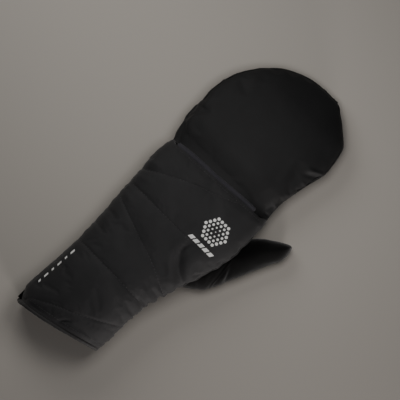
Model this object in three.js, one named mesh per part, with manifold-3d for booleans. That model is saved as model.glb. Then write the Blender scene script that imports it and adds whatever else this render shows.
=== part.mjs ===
// A winter cycling glove for the left hand, lying palm down: a padded, quilted gauntlet with a thumb,
// and a wind hood that is pulled out of a pocket on the back of the hand and over the fingers.
// Millimetres. +Y runs from the wrist to the fingertips, +X towards the thumb and +Z up.
// The origin is the middle of the palm's flat underside.

import * as THREE from "three";
import { mergeVertices } from "three/addons/utils/BufferGeometryUtils.js";
import Module from "manifold-3d";

const wasm = await Module();
wasm.setup();

// Overall sizes of the three stretches of the glove.
const CUFF_LENGTH = 86; // wrist to the middle of the hem
const CUFF_WIDTH = 83;
const CUFF_HEIGHT = 50;
const HAND_LENGTH = 103; // wrist to the mouth of the hood pocket
const HAND_WIDTH = 113;
const HAND_HEIGHT = 44;
const HOOD_LENGTH = 122.5; // mouth of the pocket to the fingertips
const HOOD_WIDTH = 122;
const HOOD_HEIGHT = 40;
const THUMB_LENGTH = 78;
const THUMB_WIDTH = 30;
const THUMB_HEIGHT = 25;
const THUMB_SPLAY_DEG = 29.4; // the thumb's angle to the fingers, seen from above

// Walls, padding and trims.
const PANEL_WALL = 2.4; // quilted back, pressed flat at a stitch line
const PADDING = 3.6; // how far the filling lifts the back between the stitch lines
const QUILT_SHOULDER = 6; // distance over which the filling rises beside a stitch line
const SIDE_SHARE = 0.6; // the filling rises this much slower beside the side seams
const PALM_WALL = 2.2;
const HOOD_WALL = 1.6;
const THUMB_WALL = 2;
const MOUTH_DIP = 2.4; // how much further back the pocket's mouth lies on top than at the side seams
const HOOD_TUCK = 11; // how deep the hood's back reaches into its pocket
const HOOD_LIP = 12; // how far the hood's underside laps over the palm
const HOOD_RISE = 16; // distance in which the hood fills out in front of its pocket
const PIPING_WIDTH = 3.4;
const PIPING_THICKNESS = 2.8;
const HEM_WIDTH = 4.2;
const HEM_THICKNESS = 3.4;
const EDGE_CORD = 2.2; // corded seam along the thumb side of the back panel
const GAP = 0.35; // between pieces that meet

const PANEL_STEPS = 44; // facets from the hem to the pocket
const HOOD_STEPS = 24; // facets from the pocket to the fingertips

const mix = THREE.MathUtils.lerp;
const { smoothstep, clamp } = THREE.MathUtils;
const DEGREE = Math.PI / 180;
const ROUNDNESS_TOP = 2.25; // exponent of the arch over the seams
const ROUNDNESS_PALM = 2.9; // exponent of the flatter arch under them
const PALM_CENTRE = 0.757; // where the origin lies between the wrist and the pocket's mouth

const WRIST_Y = -PALM_CENTRE * HAND_LENGTH;
const MOUTH_Y = WRIST_Y + HAND_LENGTH;
const onCuff = (share) => WRIST_Y - share * CUFF_LENGTH;
const onHand = (share) => WRIST_Y + share * HAND_LENGTH;
const onHood = (share) => MOUTH_Y + share * HOOD_LENGTH;

// Gives each number of a table's rows the name of its column.
const table = (columns, rows) =>
  rows.map((row) => Object.fromEntries(columns.map((column, i) => [column, row[i]])));

// Cross-sections from the hem to the fingertips. along is a share of the stretch's length, counted from the
// wrist, or on the hood from the pocket's mouth. outer and thumb are where the two side seams lie, and slant
// how far the section leans forward at the thumb side, as shares of the stretch's width. top, bottom and the
// seams' heights are shares of its height. A bottom below zero is pressed flat on the surface.
const SECTION_COLUMNS = ["along", "outer", "thumb", "slant", "top", "bottom", "outerSeam", "thumbSeam"];
const CUFF_SECTIONS = table(SECTION_COLUMNS, [
  [1.0, -0.592, 0.408, 0.11, 1.0, -0.13, 0.42, 0.42],
  [0.83, -0.59, 0.41, 0.1, 1.0, -0.13, 0.42, 0.42],
  [0.46, -0.56, 0.416, 0.05, 0.99, -0.13, 0.42, 0.43],
  [0.2, -0.556, 0.445, 0.02, 0.95, -0.13, 0.42, 0.45],
]);
const HAND_SECTIONS = table(SECTION_COLUMNS, [
  [0.0, -0.412, 0.368, 0, 1.04, -0.14, 0.46, 0.52],
  [0.155, -0.42, 0.408, 0, 1.0, -0.14, 0.46, 0.59],
  [0.32, -0.436, 0.456, 0, 0.99, -0.14, 0.48, 0.63],
  [0.56, -0.446, 0.513, 0.01, 1.0, -0.14, 0.48, 0.64],
  [0.76, -0.462, 0.521, 0.02, 0.99, -0.14, 0.47, 0.61],
  [0.91, -0.457, 0.524, 0.03, 0.965, -0.14, 0.46, 0.52],
  [1.0, -0.449, 0.52, 0.03, 0.94, -0.14, 0.45, 0.48],
]);
const HOOD_SECTIONS = table(SECTION_COLUMNS, [
  [0.065, -0.468, 0.501, 0.027, 0.946, -0.139, 0.445, 0.445],
  [0.18, -0.475, 0.485, 0.012, 0.971, -0.144, 0.46, 0.46],
  [0.302, -0.467, 0.488, 0.005, 0.98, -0.15, 0.47, 0.47],
  [0.424, -0.475, 0.511, 0, 0.94, -0.14, 0.46, 0.46],
  [0.555, -0.456, 0.543, 0, 0.89, -0.12, 0.45, 0.45],
  [0.669, -0.41, 0.535, 0, 0.83, -0.09, 0.44, 0.43],
  [0.751, -0.357, 0.518, 0, 0.77, -0.05, 0.43, 0.42],
  [0.808, -0.31, 0.492, 0, 0.71, 0, 0.42, 0.41],
  [0.865, -0.25, 0.428, 0, 0.64, 0.06, 0.4, 0.4],
  [0.914, -0.18, 0.366, 0, 0.57, 0.13, 0.39, 0.39],
  [0.955, -0.098, 0.31, 0, 0.5, 0.21, 0.375, 0.375],
  [0.984, 0.0, 0.27, 0, 0.43, 0.29, 0.365, 0.365],
  [1.0, 0.123, 0.23, 0, 0.36, 0.36, 0.36, 0.36],
]);

// The part of the hood's length over which its shares turn from shares of the hand's width and height, where
// it fits into its pocket, to shares of its own.
const HOOD_ROOT = 0.3;

// Turns a table's shares into millimetres.
const inMillimetres = (rows, place, widthAt, heightAt) =>
  rows.map((row) => {
    const [width, height] = [widthAt(row.along), heightAt(row.along)];
    return {
      y: place(row.along),
      outer: row.outer * width,
      thumb: row.thumb * width,
      slant: row.slant * width,
      top: row.top * height,
      bottom: row.bottom * height,
      outerSeam: row.outerSeam * height,
      thumbSeam: row.thumbSeam * height,
    };
  });
const fromHand = (handSize, hoodSize) => (along) => mix(handSize, hoodSize, Math.min(1, along / HOOD_ROOT));
const hoodWidth = fromHand(HAND_WIDTH, HOOD_WIDTH);
const hoodHeight = fromHand(HAND_HEIGHT, HOOD_HEIGHT);
const SECTIONS = [
  ...inMillimetres(CUFF_SECTIONS, onCuff, () => CUFF_WIDTH, () => CUFF_HEIGHT),
  ...inMillimetres(HAND_SECTIONS, onHand, () => HAND_WIDTH, () => HAND_HEIGHT),
  ...inMillimetres(HOOD_SECTIONS, onHood, hoodWidth, hoodHeight),
];
const HEM_ROW = 0;
const MOUTH_ROW = CUFF_SECTIONS.length + HAND_SECTIONS.length - 1;
const TIP_ROW = SECTIONS.length - 1;

// Quilting seams of the back panel: how far along each crosses the outer side and the thumb side, and how
// much of the panel's width it runs over, counted from the outer side.
const QUILT_SEAMS = [
  { outer: onHand(0.59), thumb: onHand(1.1), reach: 1 },
  { outer: onHand(0.45), thumb: onHand(0.44), reach: 0.68 },
  { outer: onHand(0.31), thumb: onHand(-0.04), reach: 1 },
  { outer: onCuff(0.25), thumb: onCuff(0.26), reach: 1 },
  { outer: onCuff(1.1), thumb: onCuff(0.56), reach: 1 },
];

// Folds that show: where each starts, bends and ends, x as a share of the width and y of the length of its
// stretch, with its depth and width in millimetres. A fold with a negative depth is a raised pleat.
const FOLDS = [
  { on: onHand, width: HAND_WIDTH, x: [0.235, 0.16, 0.39], y: [0.43, 0.26, 0.13], depth: 3.2, breadth: 4.5 },
  { on: onHand, width: HAND_WIDTH, x: [0.3, 0.27, 0.41], y: [0.36, 0.3, 0.19], depth: -1.4, breadth: 7 },
  { on: onCuff, width: CUFF_WIDTH, x: [0.0, 0.14, 0.3], y: [0.95, 0.88, 0.86], depth: 1.8, breadth: 4 },
  { on: onHood, width: HOOD_WIDTH, x: [-0.47, -0.4, -0.31], y: [0.36, 0.3, 0.31], depth: 2.2, breadth: 6 },
  { on: onHood, width: HOOD_WIDTH, x: [-0.46, -0.38, -0.28], y: [0.2, 0.2, 0.11], depth: 1.8, breadth: 6 },
  { on: onHood, width: HOOD_WIDTH, x: [0.53, 0.47, 0.38], y: [0.55, 0.54, 0.49], depth: 2.4, breadth: 6 },
].map(({ on, width, x, y, depth, breadth }) => ({
  depth,
  breadth,
  path: new THREE.QuadraticBezierCurve(
    ...x.map((share, i) => new THREE.Vector2(share * width, on(y[i]))),
  ).getPoints(10),
}));

// The section at a place between two rows of a table, on a Catmull-Rom spline through every column.
function sectionAt(rows, row) {
  const i = clamp(Math.floor(row), 0, rows.length - 2);
  const t = row - i;
  const [p, q, r, s] = [-1, 0, 1, 2].map((k) => rows[clamp(i + k, 0, rows.length - 1)]);
  const section = {};
  for (const column of Object.keys(q)) {
    const start = (r[column] - p[column]) / 2;
    const end = (s[column] - q[column]) / 2;
    const rise = r[column] - q[column];
    section[column] =
      q[column] + start * t + (3 * rise - 2 * start - end) * t * t + (start + end - 2 * rise) * t ** 3;
  }
  return section;
}

// A point of the glove's form. angle is 0 at the thumb-side seam, a quarter turn on top and a half turn at
// the outer seam. inset moves the point inwards, and floor is the height that it doesn't go below.
function formPoint(row, angle, inset = 0, floor = 0) {
  const section = sectionAt(SECTIONS, row);
  const [c, s] = [Math.cos(angle), Math.sin(angle)];
  const above = s >= 0;
  const power = 2 / (above ? ROUNDNESS_TOP : ROUNDNESS_PALM);
  const across = Math.sign(c) * Math.abs(c) ** power;
  const rise = Math.abs(s) ** power;
  const centre = (section.outer + section.thumb) / 2;
  const half = (section.thumb - section.outer) / 2 - inset;
  const seam = mix(section.outerSeam, section.thumbSeam, (1 + across) / 2);
  const height = above
    ? seam + GAP / 2 + Math.max(0, section.top - inset - seam) * rise
    : seam - GAP / 2 - Math.max(0, seam - section.bottom - inset) * rise;
  const pulledBack = section.y > MOUTH_Y ? (inset * (section.y - MOUTH_Y)) / HOOD_LENGTH : 0;
  return new THREE.Vector3(
    centre + across * half,
    section.y - pulledBack + section.slant * across,
    Math.max(height, floor),
  );
}

// How deep the folds cut in at a point of the form. They fade out towards the side seams.
function foldDepth(row, angle) {
  const { x, y } = formPoint(row, angle);
  let depth = 0;
  for (const fold of FOLDS) {
    const away = Math.min(...fold.path.map((p) => Math.hypot(p.x - x, p.y - y)));
    depth += fold.depth * Math.exp(-2 * (away / fold.breadth) ** 2);
  }
  return depth * smoothstep(Math.abs(Math.sin(angle)), 0.05, 0.3);
}

// How far the filling lifts the back panel: nothing at its edges and along each quilting seam.
function filling(row, angle) {
  const { y } = formPoint(row, angle);
  const section = sectionAt(SECTIONS, row);
  const half = (section.thumb - section.outer) / 2;
  const share = (1 - Math.cos(angle)) / 2;
  const slant = Math.cos(angle);
  const distances = QUILT_SEAMS.map(({ outer, thumb, reach }) =>
    Math.hypot(y - mix(thumb, outer, share), Math.max(0, 1 - share - reach) * 2 * half),
  );
  distances.push(y - SECTIONS[HEM_ROW].y - SECTIONS[HEM_ROW].slant * slant);
  distances.push(mouthY(angle) + SECTIONS[MOUTH_ROW].slant * slant - y);
  distances.push(Math.min(angle, Math.PI - angle) * half * SIDE_SHARE);
  const lift = (d) => 1 - Math.exp(-Math.max(0, d) / QUILT_SHOULDER);
  return distances.reduce((product, d) => product * lift(d), PADDING);
}

// A closed wall between two surfaces over the same two parameters, across and along, each from 0 to 1.
// Steps are even numbers: the inner surface is plain and has half as many each way.
function wall(acrossSteps, alongSteps, outer, inner) {
  const points = [];
  const grid = (columns, rows, surface) =>
    Array.from({ length: rows + 1 }, (_, i) =>
      Array.from({ length: columns + 1 }, (_, j) => points.push(surface(j / columns, i / rows)) - 1),
    );
  const fine = grid(acrossSteps, alongSteps, outer);
  const plain = grid(acrossSteps / 2, alongSteps / 2, inner);
  const faces = [];
  const skin = (g, outward) => {
    for (let i = 0; i < g.length - 1; i++)
      for (let j = 0; j < g[0].length - 1; j++) {
        const [a, b, c, d] = [g[i][j], g[i][j + 1], g[i + 1][j + 1], g[i + 1][j]];
        faces.push(...(outward ? [a, d, c, a, c, b] : [a, c, d, a, b, c]));
      }
  };
  skin(fine, true);
  skin(plain, false);
  const rim = (g) => [
    ...g[0],
    ...g.slice(1).map((line) => line.at(-1)),
    ...g.at(-1).slice(0, -1).reverse(),
    ...g.slice(1, -1).map((line) => line[0]).reverse(),
  ];
  const [o, i] = [rim(fine), rim(plain)];
  i.forEach((near, k) => {
    const next = i[(k + 1) % i.length];
    const [first, middle, last] = [o[2 * k], o[2 * k + 1], o[(2 * k + 2) % o.length]];
    faces.push(first, middle, near, middle, next, near, middle, last, next);
  });
  return bodyOf(points, faces);
}

// A closed body through rings of points. It ends in flat caps, or joins its last ring to its first.
function loft(rings, closed = false) {
  const points = rings.flat();
  const sides = rings[0].length;
  const faces = [];
  const last = closed ? rings.length : rings.length - 1;
  for (let i = 0; i < last; i++)
    for (let j = 0; j < sides; j++) {
      const [from, to] = [i * sides, ((i + 1) % rings.length) * sides];
      const [a, b] = [from + j, from + ((j + 1) % sides)];
      const [d, c] = [to + j, to + ((j + 1) % sides)];
      faces.push(a, d, c, a, c, b);
    }
  if (!closed)
    [0, rings.length - 1].forEach((end) => {
      const middle = rings[end].reduce((sum, p) => sum.add(p), new THREE.Vector3()).divideScalar(sides);
      const hub = points.push(middle) - 1;
      for (let j = 0; j < sides; j++) {
        const [a, b] = [end * sides + j, end * sides + ((j + 1) % sides)];
        faces.push(...(end ? [b, a, hub] : [a, b, hub]));
      }
    });
  return bodyOf(points, faces);
}

function bodyOf(points, faces) {
  const positions = new Float32Array(points.flatMap((p) => p.toArray()));
  const geometry = new THREE.BufferGeometry()
    .setAttribute("position", new THREE.BufferAttribute(positions, 3))
    .setIndex(faces);
  return solidOf(geometry);
}

function solidOf(geometry) {
  const bare = geometry.clone();
  bare.deleteAttribute("normal");
  bare.deleteAttribute("uv");
  const merged = mergeVertices(bare, 1e-4);
  return new wasm.Manifold(
    new wasm.Mesh({
      numProp: 3,
      vertProperties: merged.attributes.position.array,
      triVerts: new Uint32Array(merged.index.array),
    }),
  );
}

function geometryOf(solid) {
  const { vertProperties, triVerts } = solid.getMesh();
  const geometry = new THREE.BufferGeometry()
    .setAttribute("position", new THREE.BufferAttribute(vertProperties, 3))
    .setIndex(new THREE.BufferAttribute(triVerts, 1));
  geometry.computeVertexNormals();
  return geometry;
}

// How far under the padded back the hood lies in its pocket, fading to nothing at the side seams, where the
// two are sewn together, and in front of the piping.
function tuck(y, angle) {
  const clearOfPiping = mouthY(angle) + PIPING_WIDTH + 2 * GAP;
  const depth = PANEL_WALL + 3 * GAP;
  const inFront = smoothstep(y, clearOfPiping, clearOfPiping + HOOD_RISE);
  return depth * (1 - inFront) * smoothstep(Math.abs(Math.sin(angle)), 0.08, 0.36);
}

// Space for the hood's lip under the front of the palm.
function lipSpace(y, angle) {
  const back = MOUTH_Y - HOOD_LIP;
  return (
    (HOOD_WALL + 5 * GAP) *
    smoothstep(y, back - 6, back - 1) *
    smoothstep(Math.abs(Math.sin(angle)), 0.12, 0.42)
  );
}

// Only the middle of an edge is drawn out, as a share of its full depth.
const tongue = (angle) => smoothstep(Math.abs(Math.sin(angle)), 0.45, 0.85);

// The row of the table at which the form passes a given y.
function rowAt(y) {
  let [low, high] = [HEM_ROW, TIP_ROW];
  for (let i = 0; i < 40; i++) {
    const middle = (low + high) / 2;
    if (sectionAt(SECTIONS, middle).y < y) low = middle;
    else high = middle;
  }
  return low;
}

// Angles from one side seam to the other, over the back and under the palm, just clear of the seams.
const SEAM_EDGE = 1e-4;
const overBack = (across) => mix(SEAM_EDGE, Math.PI - SEAM_EDGE, across);
const underPalm = (across) => Math.PI + overBack(across);

// The front edge of the back panel dips towards the wrist between the side seams.
const mouthY = (angle) => MOUTH_Y - MOUTH_DIP * smoothstep(Math.sin(angle), 0.1, 0.45);

// Rows spaced evenly along the glove from the hem to the pocket's mouth.
const panelRow = (share, front = MOUTH_Y) => rowAt(mix(SECTIONS[HEM_ROW].y, front, share));
// Rows along the hood, closer together at its pocket and closest at the tip.
const hoodRow = (share, start) => {
  const turn = share * Math.PI;
  return rowAt(mix(start, SECTIONS[TIP_ROW].y, (Math.sin(turn / 2) + (1 - Math.cos(turn)) / 2) / 2));
};

function backPanel() {
  const at = (across, along, inset) => {
    const row = panelRow(along, mouthY(overBack(across)));
    return formPoint(row, overBack(across), inset(row) + foldDepth(row, overBack(across)));
  };
  return wall(
    28,
    PANEL_STEPS,
    (across, along) => at(across, along, (row) => -filling(row, overBack(across))),
    (across, along) => at(across, along, () => PANEL_WALL),
  );
}

function palmPanel() {
  const at = (across, along, inset) => {
    const row = panelRow(along);
    const clear = lipSpace(sectionAt(SECTIONS, row).y, underPalm(across));
    return formPoint(row, underPalm(across), inset + clear, inset + clear);
  };
  return wall(
    18,
    PANEL_STEPS,
    (across, along) => at(across, along, 0),
    (across, along) => at(across, along, PALM_WALL),
  );
}

function hoodBack() {
  const at = (across, along, wallInset) => {
    const start = mouthY(overBack(across)) + GAP - HOOD_TUCK * tongue(overBack(across));
    const row = hoodRow(along, start);
    const inset = tuck(sectionAt(SECTIONS, row).y, overBack(across)) + foldDepth(row, overBack(across));
    return formPoint(row, overBack(across), inset + wallInset);
  };
  return wall(
    20,
    HOOD_STEPS,
    (across, along) => at(across, along, 0),
    (across, along) => at(across, along, HOOD_WALL),
  );
}

function hoodPalm() {
  const at = (across, along, inset) => {
    const start = MOUTH_Y + GAP - HOOD_LIP * tongue(underPalm(across));
    return formPoint(hoodRow(along, start), underPalm(across), inset, inset);
  };
  return wall(
    16,
    HOOD_STEPS,
    (across, along) => at(across, along, 0),
    (across, along) => at(across, along, HOOD_WALL),
  );
}

// The whole outside of the gauntlet as one solid, to shape what is sewn to it.
function gauntletOutside(clearance) {
  const rings = [];
  const rows = 60;
  const sides = 60;
  for (let i = 0; i <= rows; i++) {
    const row = mix(HEM_ROW, MOUTH_ROW + 2, i / rows);
    const ring = [];
    for (let j = 0; j < sides; j++) {
      const angle = (j / sides) * 2 * Math.PI;
      const padded = angle < Math.PI && row < MOUTH_ROW ? filling(row, angle) : 0;
      ring.push(formPoint(row, angle, -padded - clearance, -clearance));
    }
    rings.push(ring);
  }
  return loft(rings);
}

// Sections of the thumb from inside the hand to its tip. along is a share of THUMB_LENGTH from the base
// seam, crotch and outside are its two sides as shares of THUMB_WIDTH, top and bottom of THUMB_HEIGHT.
const THUMB_SECTIONS = table(["along", "crotch", "outside", "top", "bottom"], [
  [-0.42, -0.43, 0.1, 0.86, -0.1],
  [-0.306, -0.5, 0.35, 0.92, -0.1],
  [-0.166, -0.53, 0.51, 0.97, -0.1],
  [-0.038, -0.55, 0.6, 1.0, -0.1],
  [0.115, -0.55, 0.567, 1.0, -0.1],
  [0.268, -0.533, 0.52, 1.0, -0.1],
  [0.433, -0.517, 0.477, 0.98, -0.1],
  [0.599, -0.473, 0.427, 0.96, -0.1],
  [0.726, -0.367, 0.4, 0.93, -0.08],
  [0.828, -0.25, 0.393, 0.88, -0.04],
  [0.904, -0.14, 0.327, 0.79, 0.02],
  [0.968, -0.033, 0.217, 0.64, 0.1],
  [1.0, 0.033, 0.127, 0.47, 0.2],
]);
const THUMB_BASE = new THREE.Vector2(0.446 * HAND_WIDTH, onHand(0.38));
// The seam round the thumb's base, seen from above, in the thumb's own shares.
const THUMB_SEAM = [
  { along: 0.28, side: 0.03 },
  { along: 0, side: 0.57 },
];

// A point given along and across the thumb, and its height.
function thumbPoint(along, side, height) {
  const [c, s] = [Math.cos(THUMB_SPLAY_DEG * DEGREE), Math.sin(THUMB_SPLAY_DEG * DEGREE)];
  return new THREE.Vector3(THUMB_BASE.x + along * s + side * c, THUMB_BASE.y + along * c - side * s, height);
}

function thumbForm(inset, steps, sides) {
  const rings = [];
  const reach = THUMB_LENGTH - inset;
  for (let i = 0; i <= steps; i++) {
    const section = sectionAt(THUMB_SECTIONS, (i / steps) * (THUMB_SECTIONS.length - 1));
    const middle = ((section.crotch + section.outside) / 2) * THUMB_WIDTH;
    const half = Math.max(0.6, ((section.outside - section.crotch) / 2) * THUMB_WIDTH - inset);
    const top = section.top * THUMB_HEIGHT - inset;
    const bottom = section.bottom * THUMB_HEIGHT + inset;
    const ring = [];
    for (let j = 0; j < sides; j++) {
      const angle = (j / sides) * 2 * Math.PI;
      const height = mix(bottom, top, (1 + Math.sin(angle)) / 2);
      const along = section.along * reach;
      ring.push(thumbPoint(along, middle + half * Math.cos(angle), Math.max(height, inset)));
    }
    rings.push(ring);
  }
  return loft(rings);
}

// Everything on the fingertip side of the thumb's base seam, beyond a clearance. The seam runs across the
// thumb as the table says, and from its first point on, out of sight, at right angles to the thumb.
function pastThumbSeam(clearance) {
  const reach = 3 * THUMB_LENGTH;
  const [from, to] = THUMB_SEAM.map(({ along, side }) =>
    thumbPoint(along * THUMB_LENGTH, side * THUMB_WIDTH, 0),
  );
  const beyond = (turn) =>
    solidOf(
      new THREE.BoxGeometry(reach, 2 * reach, reach)
        .translate(reach / 2 + clearance, 0, 0)
        .rotateZ(turn)
        .translate(from.x, from.y, 0),
    );
  const seam = beyond(Math.atan2(from.y - to.y, from.x - to.x) - Math.PI / 2);
  return seam.add(beyond(Math.PI / 2 - THUMB_SPLAY_DEG * DEGREE));
}

function thumbPieces() {
  const shell = thumbForm(0, 18, 20)
    .subtract(thumbForm(THUMB_WALL, 14, 14))
    .subtract(gauntletOutside(1.5 * GAP))
    .subtract(thumbEdgeCord(GAP));
  return {
    thumb: largest(shell.intersect(pastThumbSeam(GAP / 2))),
    gusset: largest(shell.subtract(pastThumbSeam(-GAP / 2))),
  };
}

const largest = (solid) => solid.decompose().sort((a, b) => b.volume() - a.volume())[0];

// A trim laid along a path: rings of an oval section, side by side with the path's own two directions.
function trim(stations, width, thickness, sides, closed) {
  const rings = stations.map(({ centre, outwards, forwards }) =>
    Array.from({ length: sides }, (_, k) => {
      const angle = (k / sides) * 2 * Math.PI;
      return centre
        .clone()
        .addScaledVector(forwards, (Math.cos(angle) * width) / 2)
        .addScaledVector(outwards, (Math.sin(angle) * thickness) / 2);
    }),
  );
  return loft(rings, closed);
}

// The direction straight out of the form at a row and angle.
function outwardsAt(row, angle) {
  return formPoint(row, angle, -1, -Infinity).sub(formPoint(row, angle, 0, -Infinity)).normalize();
}

// The piping is sewn to the pocket's mouth and lies on the hood.
function hoodPiping() {
  const forwards = new THREE.Vector3(0, 1, 0);
  const [from, to] = [42 * DEGREE, 151 * DEGREE];
  const steps = 26;
  const stations = Array.from({ length: steps + 1 }, (_, i) => {
    const angle = mix(from, to, i / steps);
    const y = mouthY(angle) + GAP + PIPING_WIDTH / 2;
    const row = rowAt(y);
    const outwards = outwardsAt(row, angle);
    const onHoodSurface = formPoint(row, angle, tuck(y, angle));
    const centre = onHoodSurface.addScaledVector(outwards, 2 * GAP + PIPING_THICKNESS / 2);
    return { centre, outwards, forwards };
  });
  return trim(stations, PIPING_WIDTH, PIPING_THICKNESS, 8, false);
}

function cuffHem() {
  const forwards = new THREE.Vector3(0, 1, 0);
  const steps = 48;
  const middle = HEM_THICKNESS / 2;
  const stations = Array.from({ length: steps }, (_, i) => {
    const angle = (i / steps) * 2 * Math.PI;
    const centre = formPoint(HEM_ROW, angle, middle, middle).addScaledVector(forwards, -GAP - HEM_WIDTH / 2);
    return { centre, outwards: outwardsAt(HEM_ROW, angle), forwards };
  });
  return trim(stations, HEM_WIDTH, HEM_THICKNESS, 8, true);
}

// The corded edge, made thicker all round by a clearance where something has to stay clear of it.
function thumbEdgeCord(clearance = 0) {
  const steps = 26;
  const [from, to] = [onHand(0.12), onHand(0.84)];
  const outwards = new THREE.Vector3(0, 0, 1);
  const along = (i) => formPoint(rowAt(mix(from, to, i / steps)), 0, -2 * GAP - EDGE_CORD / 2);
  const stations = Array.from({ length: steps + 1 }, (_, i) => {
    const tangent = along(Math.min(i + 0.5, steps)).sub(along(Math.max(i - 0.5, 0))).normalize();
    const forwards = new THREE.Vector3().crossVectors(tangent, outwards).normalize();
    return { centre: along(i), outwards, forwards };
  });
  const thickness = EDGE_CORD + 2 * clearance;
  return trim(stations, thickness, thickness, 6, false);
}

const fabric = (color, roughness) => new THREE.MeshStandardMaterial({ color, roughness, metalness: 0 });
const MATERIALS = {
  quilted: fabric(0x242425, 0.85),
  suede: fabric(0x121212, 0.95),
  shell: fabric(0x1e1e1f, 0.7),
  binding: fabric(0x38383d, 0.6),
};

function mesh(name, solid, material) {
  const made = new THREE.Mesh(geometryOf(solid), material);
  made.name = name;
  return made;
}

const glove = new THREE.Group();
const { thumb, gusset } = thumbPieces();
const palmOpening = thumbForm(THUMB_WALL + 1, 14, 14);
glove.add(
  mesh("back_panel", backPanel(), MATERIALS.quilted),
  mesh("palm_panel", largest(palmPanel().subtract(palmOpening)), MATERIALS.suede),
  mesh("hood_back", hoodBack(), MATERIALS.shell),
  mesh("hood_palm", hoodPalm(), MATERIALS.shell),
  mesh("thumb", thumb, MATERIALS.suede),
  mesh("thumb_gusset", gusset, MATERIALS.suede),
  mesh("hood_piping", hoodPiping(), MATERIALS.binding),
  mesh("thumb_edge_cord", thumbEdgeCord(), MATERIALS.binding),
  mesh("cuff_hem", cuffHem(), MATERIALS.binding),
);

export default glove;
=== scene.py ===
import math

import bmesh
import bpy
import numpy as np
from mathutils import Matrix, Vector
from mathutils.bvhtree import BVHTree


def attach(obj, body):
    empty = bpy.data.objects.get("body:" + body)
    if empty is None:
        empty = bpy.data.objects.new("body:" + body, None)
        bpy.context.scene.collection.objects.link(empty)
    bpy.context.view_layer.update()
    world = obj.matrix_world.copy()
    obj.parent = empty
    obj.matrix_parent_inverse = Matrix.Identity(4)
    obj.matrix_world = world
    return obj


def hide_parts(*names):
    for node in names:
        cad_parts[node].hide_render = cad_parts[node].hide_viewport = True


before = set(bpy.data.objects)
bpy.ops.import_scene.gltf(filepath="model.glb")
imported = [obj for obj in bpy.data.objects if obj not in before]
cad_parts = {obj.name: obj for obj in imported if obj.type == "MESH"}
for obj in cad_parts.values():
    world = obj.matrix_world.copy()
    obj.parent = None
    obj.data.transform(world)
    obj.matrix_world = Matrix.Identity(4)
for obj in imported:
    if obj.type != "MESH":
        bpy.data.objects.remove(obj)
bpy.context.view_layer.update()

# A winter cycling glove for the left hand, lying palm down: a quilted gauntlet with a thumb, and a wind
# hood that is pulled out of a pocket on the back of the hand and over the fingers. Metres.
MM = 0.001

# Back panel: the padded back of the hand and cuff. Softshell over filling and a fleece lining, quilted
# with slanted lines of stitching, cut as one panel and sewn to the palm along both sides.
CUFF_LENGTH = 86 * MM
CUFF_WIDTH = 83 * MM
CUFF_HEIGHT = 50 * MM
HAND_LENGTH = 103 * MM
HAND_WIDTH = 113 * MM
HAND_HEIGHT = 44 * MM
HOOD_LENGTH = 122.5 * MM
HOOD_WIDTH = 122 * MM
HOOD_HEIGHT = 40 * MM
PALM_CENTRE = 0.757
WRIST_Y = -PALM_CENTRE * HAND_LENGTH
MOUTH_Y = WRIST_Y + HAND_LENGTH
ROUNDNESS_TOP = 2.25
ROUNDNESS_PALM = 2.9
SEAM_SPLIT = 0.1 * MM
HOOD_ROOT = 0.3
PANEL_WALL = 2.4 * MM
PADDING = 3.6 * MM
QUILT_SHOULDER = 6 * MM
MOUTH_DIP = 2.4 * MM

# Cross-sections from the hem to the fingertips, as shares of each stretch's length, width and height:
# along, outer seam, thumb seam, slant, top, bottom, and the heights of the outer and the thumb seam.
CUFF_SECTIONS = [
    (1.0, -0.592, 0.408, 0.11, 1.0, -0.13, 0.42, 0.42),
    (0.83, -0.59, 0.41, 0.1, 1.0, -0.13, 0.42, 0.42),
    (0.46, -0.56, 0.416, 0.05, 0.99, -0.13, 0.42, 0.43),
    (0.2, -0.556, 0.445, 0.02, 0.95, -0.13, 0.42, 0.45),
]
HAND_SECTIONS = [
    (0.0, -0.412, 0.368, 0, 1.04, -0.14, 0.46, 0.52),
    (0.155, -0.42, 0.408, 0, 1.0, -0.14, 0.46, 0.59),
    (0.32, -0.436, 0.456, 0, 0.99, -0.14, 0.48, 0.63),
    (0.56, -0.446, 0.513, 0.01, 1.0, -0.14, 0.48, 0.64),
    (0.76, -0.462, 0.521, 0.02, 0.99, -0.14, 0.47, 0.61),
    (0.91, -0.457, 0.524, 0.03, 0.965, -0.14, 0.46, 0.52),
    (1.0, -0.449, 0.52, 0.03, 0.94, -0.14, 0.45, 0.48),
]
HOOD_SECTIONS = [
    (0.065, -0.468, 0.501, 0.027, 0.946, -0.139, 0.445, 0.445),
    (0.18, -0.475, 0.485, 0.012, 0.971, -0.144, 0.46, 0.46),
    (0.302, -0.467, 0.488, 0.005, 0.98, -0.15, 0.47, 0.47),
    (0.424, -0.475, 0.511, 0, 0.94, -0.14, 0.46, 0.46),
    (0.555, -0.456, 0.543, 0, 0.89, -0.12, 0.45, 0.45),
    (0.669, -0.41, 0.535, 0, 0.83, -0.09, 0.44, 0.43),
    (0.751, -0.357, 0.518, 0, 0.77, -0.05, 0.43, 0.42),
    (0.808, -0.31, 0.492, 0, 0.71, 0, 0.42, 0.41),
    (0.865, -0.25, 0.428, 0, 0.64, 0.06, 0.4, 0.4),
    (0.914, -0.18, 0.366, 0, 0.57, 0.13, 0.39, 0.39),
    (0.955, -0.098, 0.31, 0, 0.5, 0.21, 0.375, 0.375),
    (0.984, 0.0, 0.27, 0, 0.43, 0.29, 0.365, 0.365),
    (1.0, 0.123, 0.23, 0, 0.36, 0.36, 0.36, 0.36),
]


def on_cuff(share):
    """The y at a share of the cuff's length from the wrist, and the same for the hand and the hood."""
    return WRIST_Y - share * CUFF_LENGTH


def on_hand(share):
    return WRIST_Y + share * HAND_LENGTH


def on_hood(share):
    return MOUTH_Y + share * HOOD_LENGTH


def from_hand(hand_size, hood_size):
    """A size that turns from the hand's to the hood's over the hood's root."""
    return lambda along: hand_size + (hood_size - hand_size) * min(1, along / HOOD_ROOT)


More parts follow.
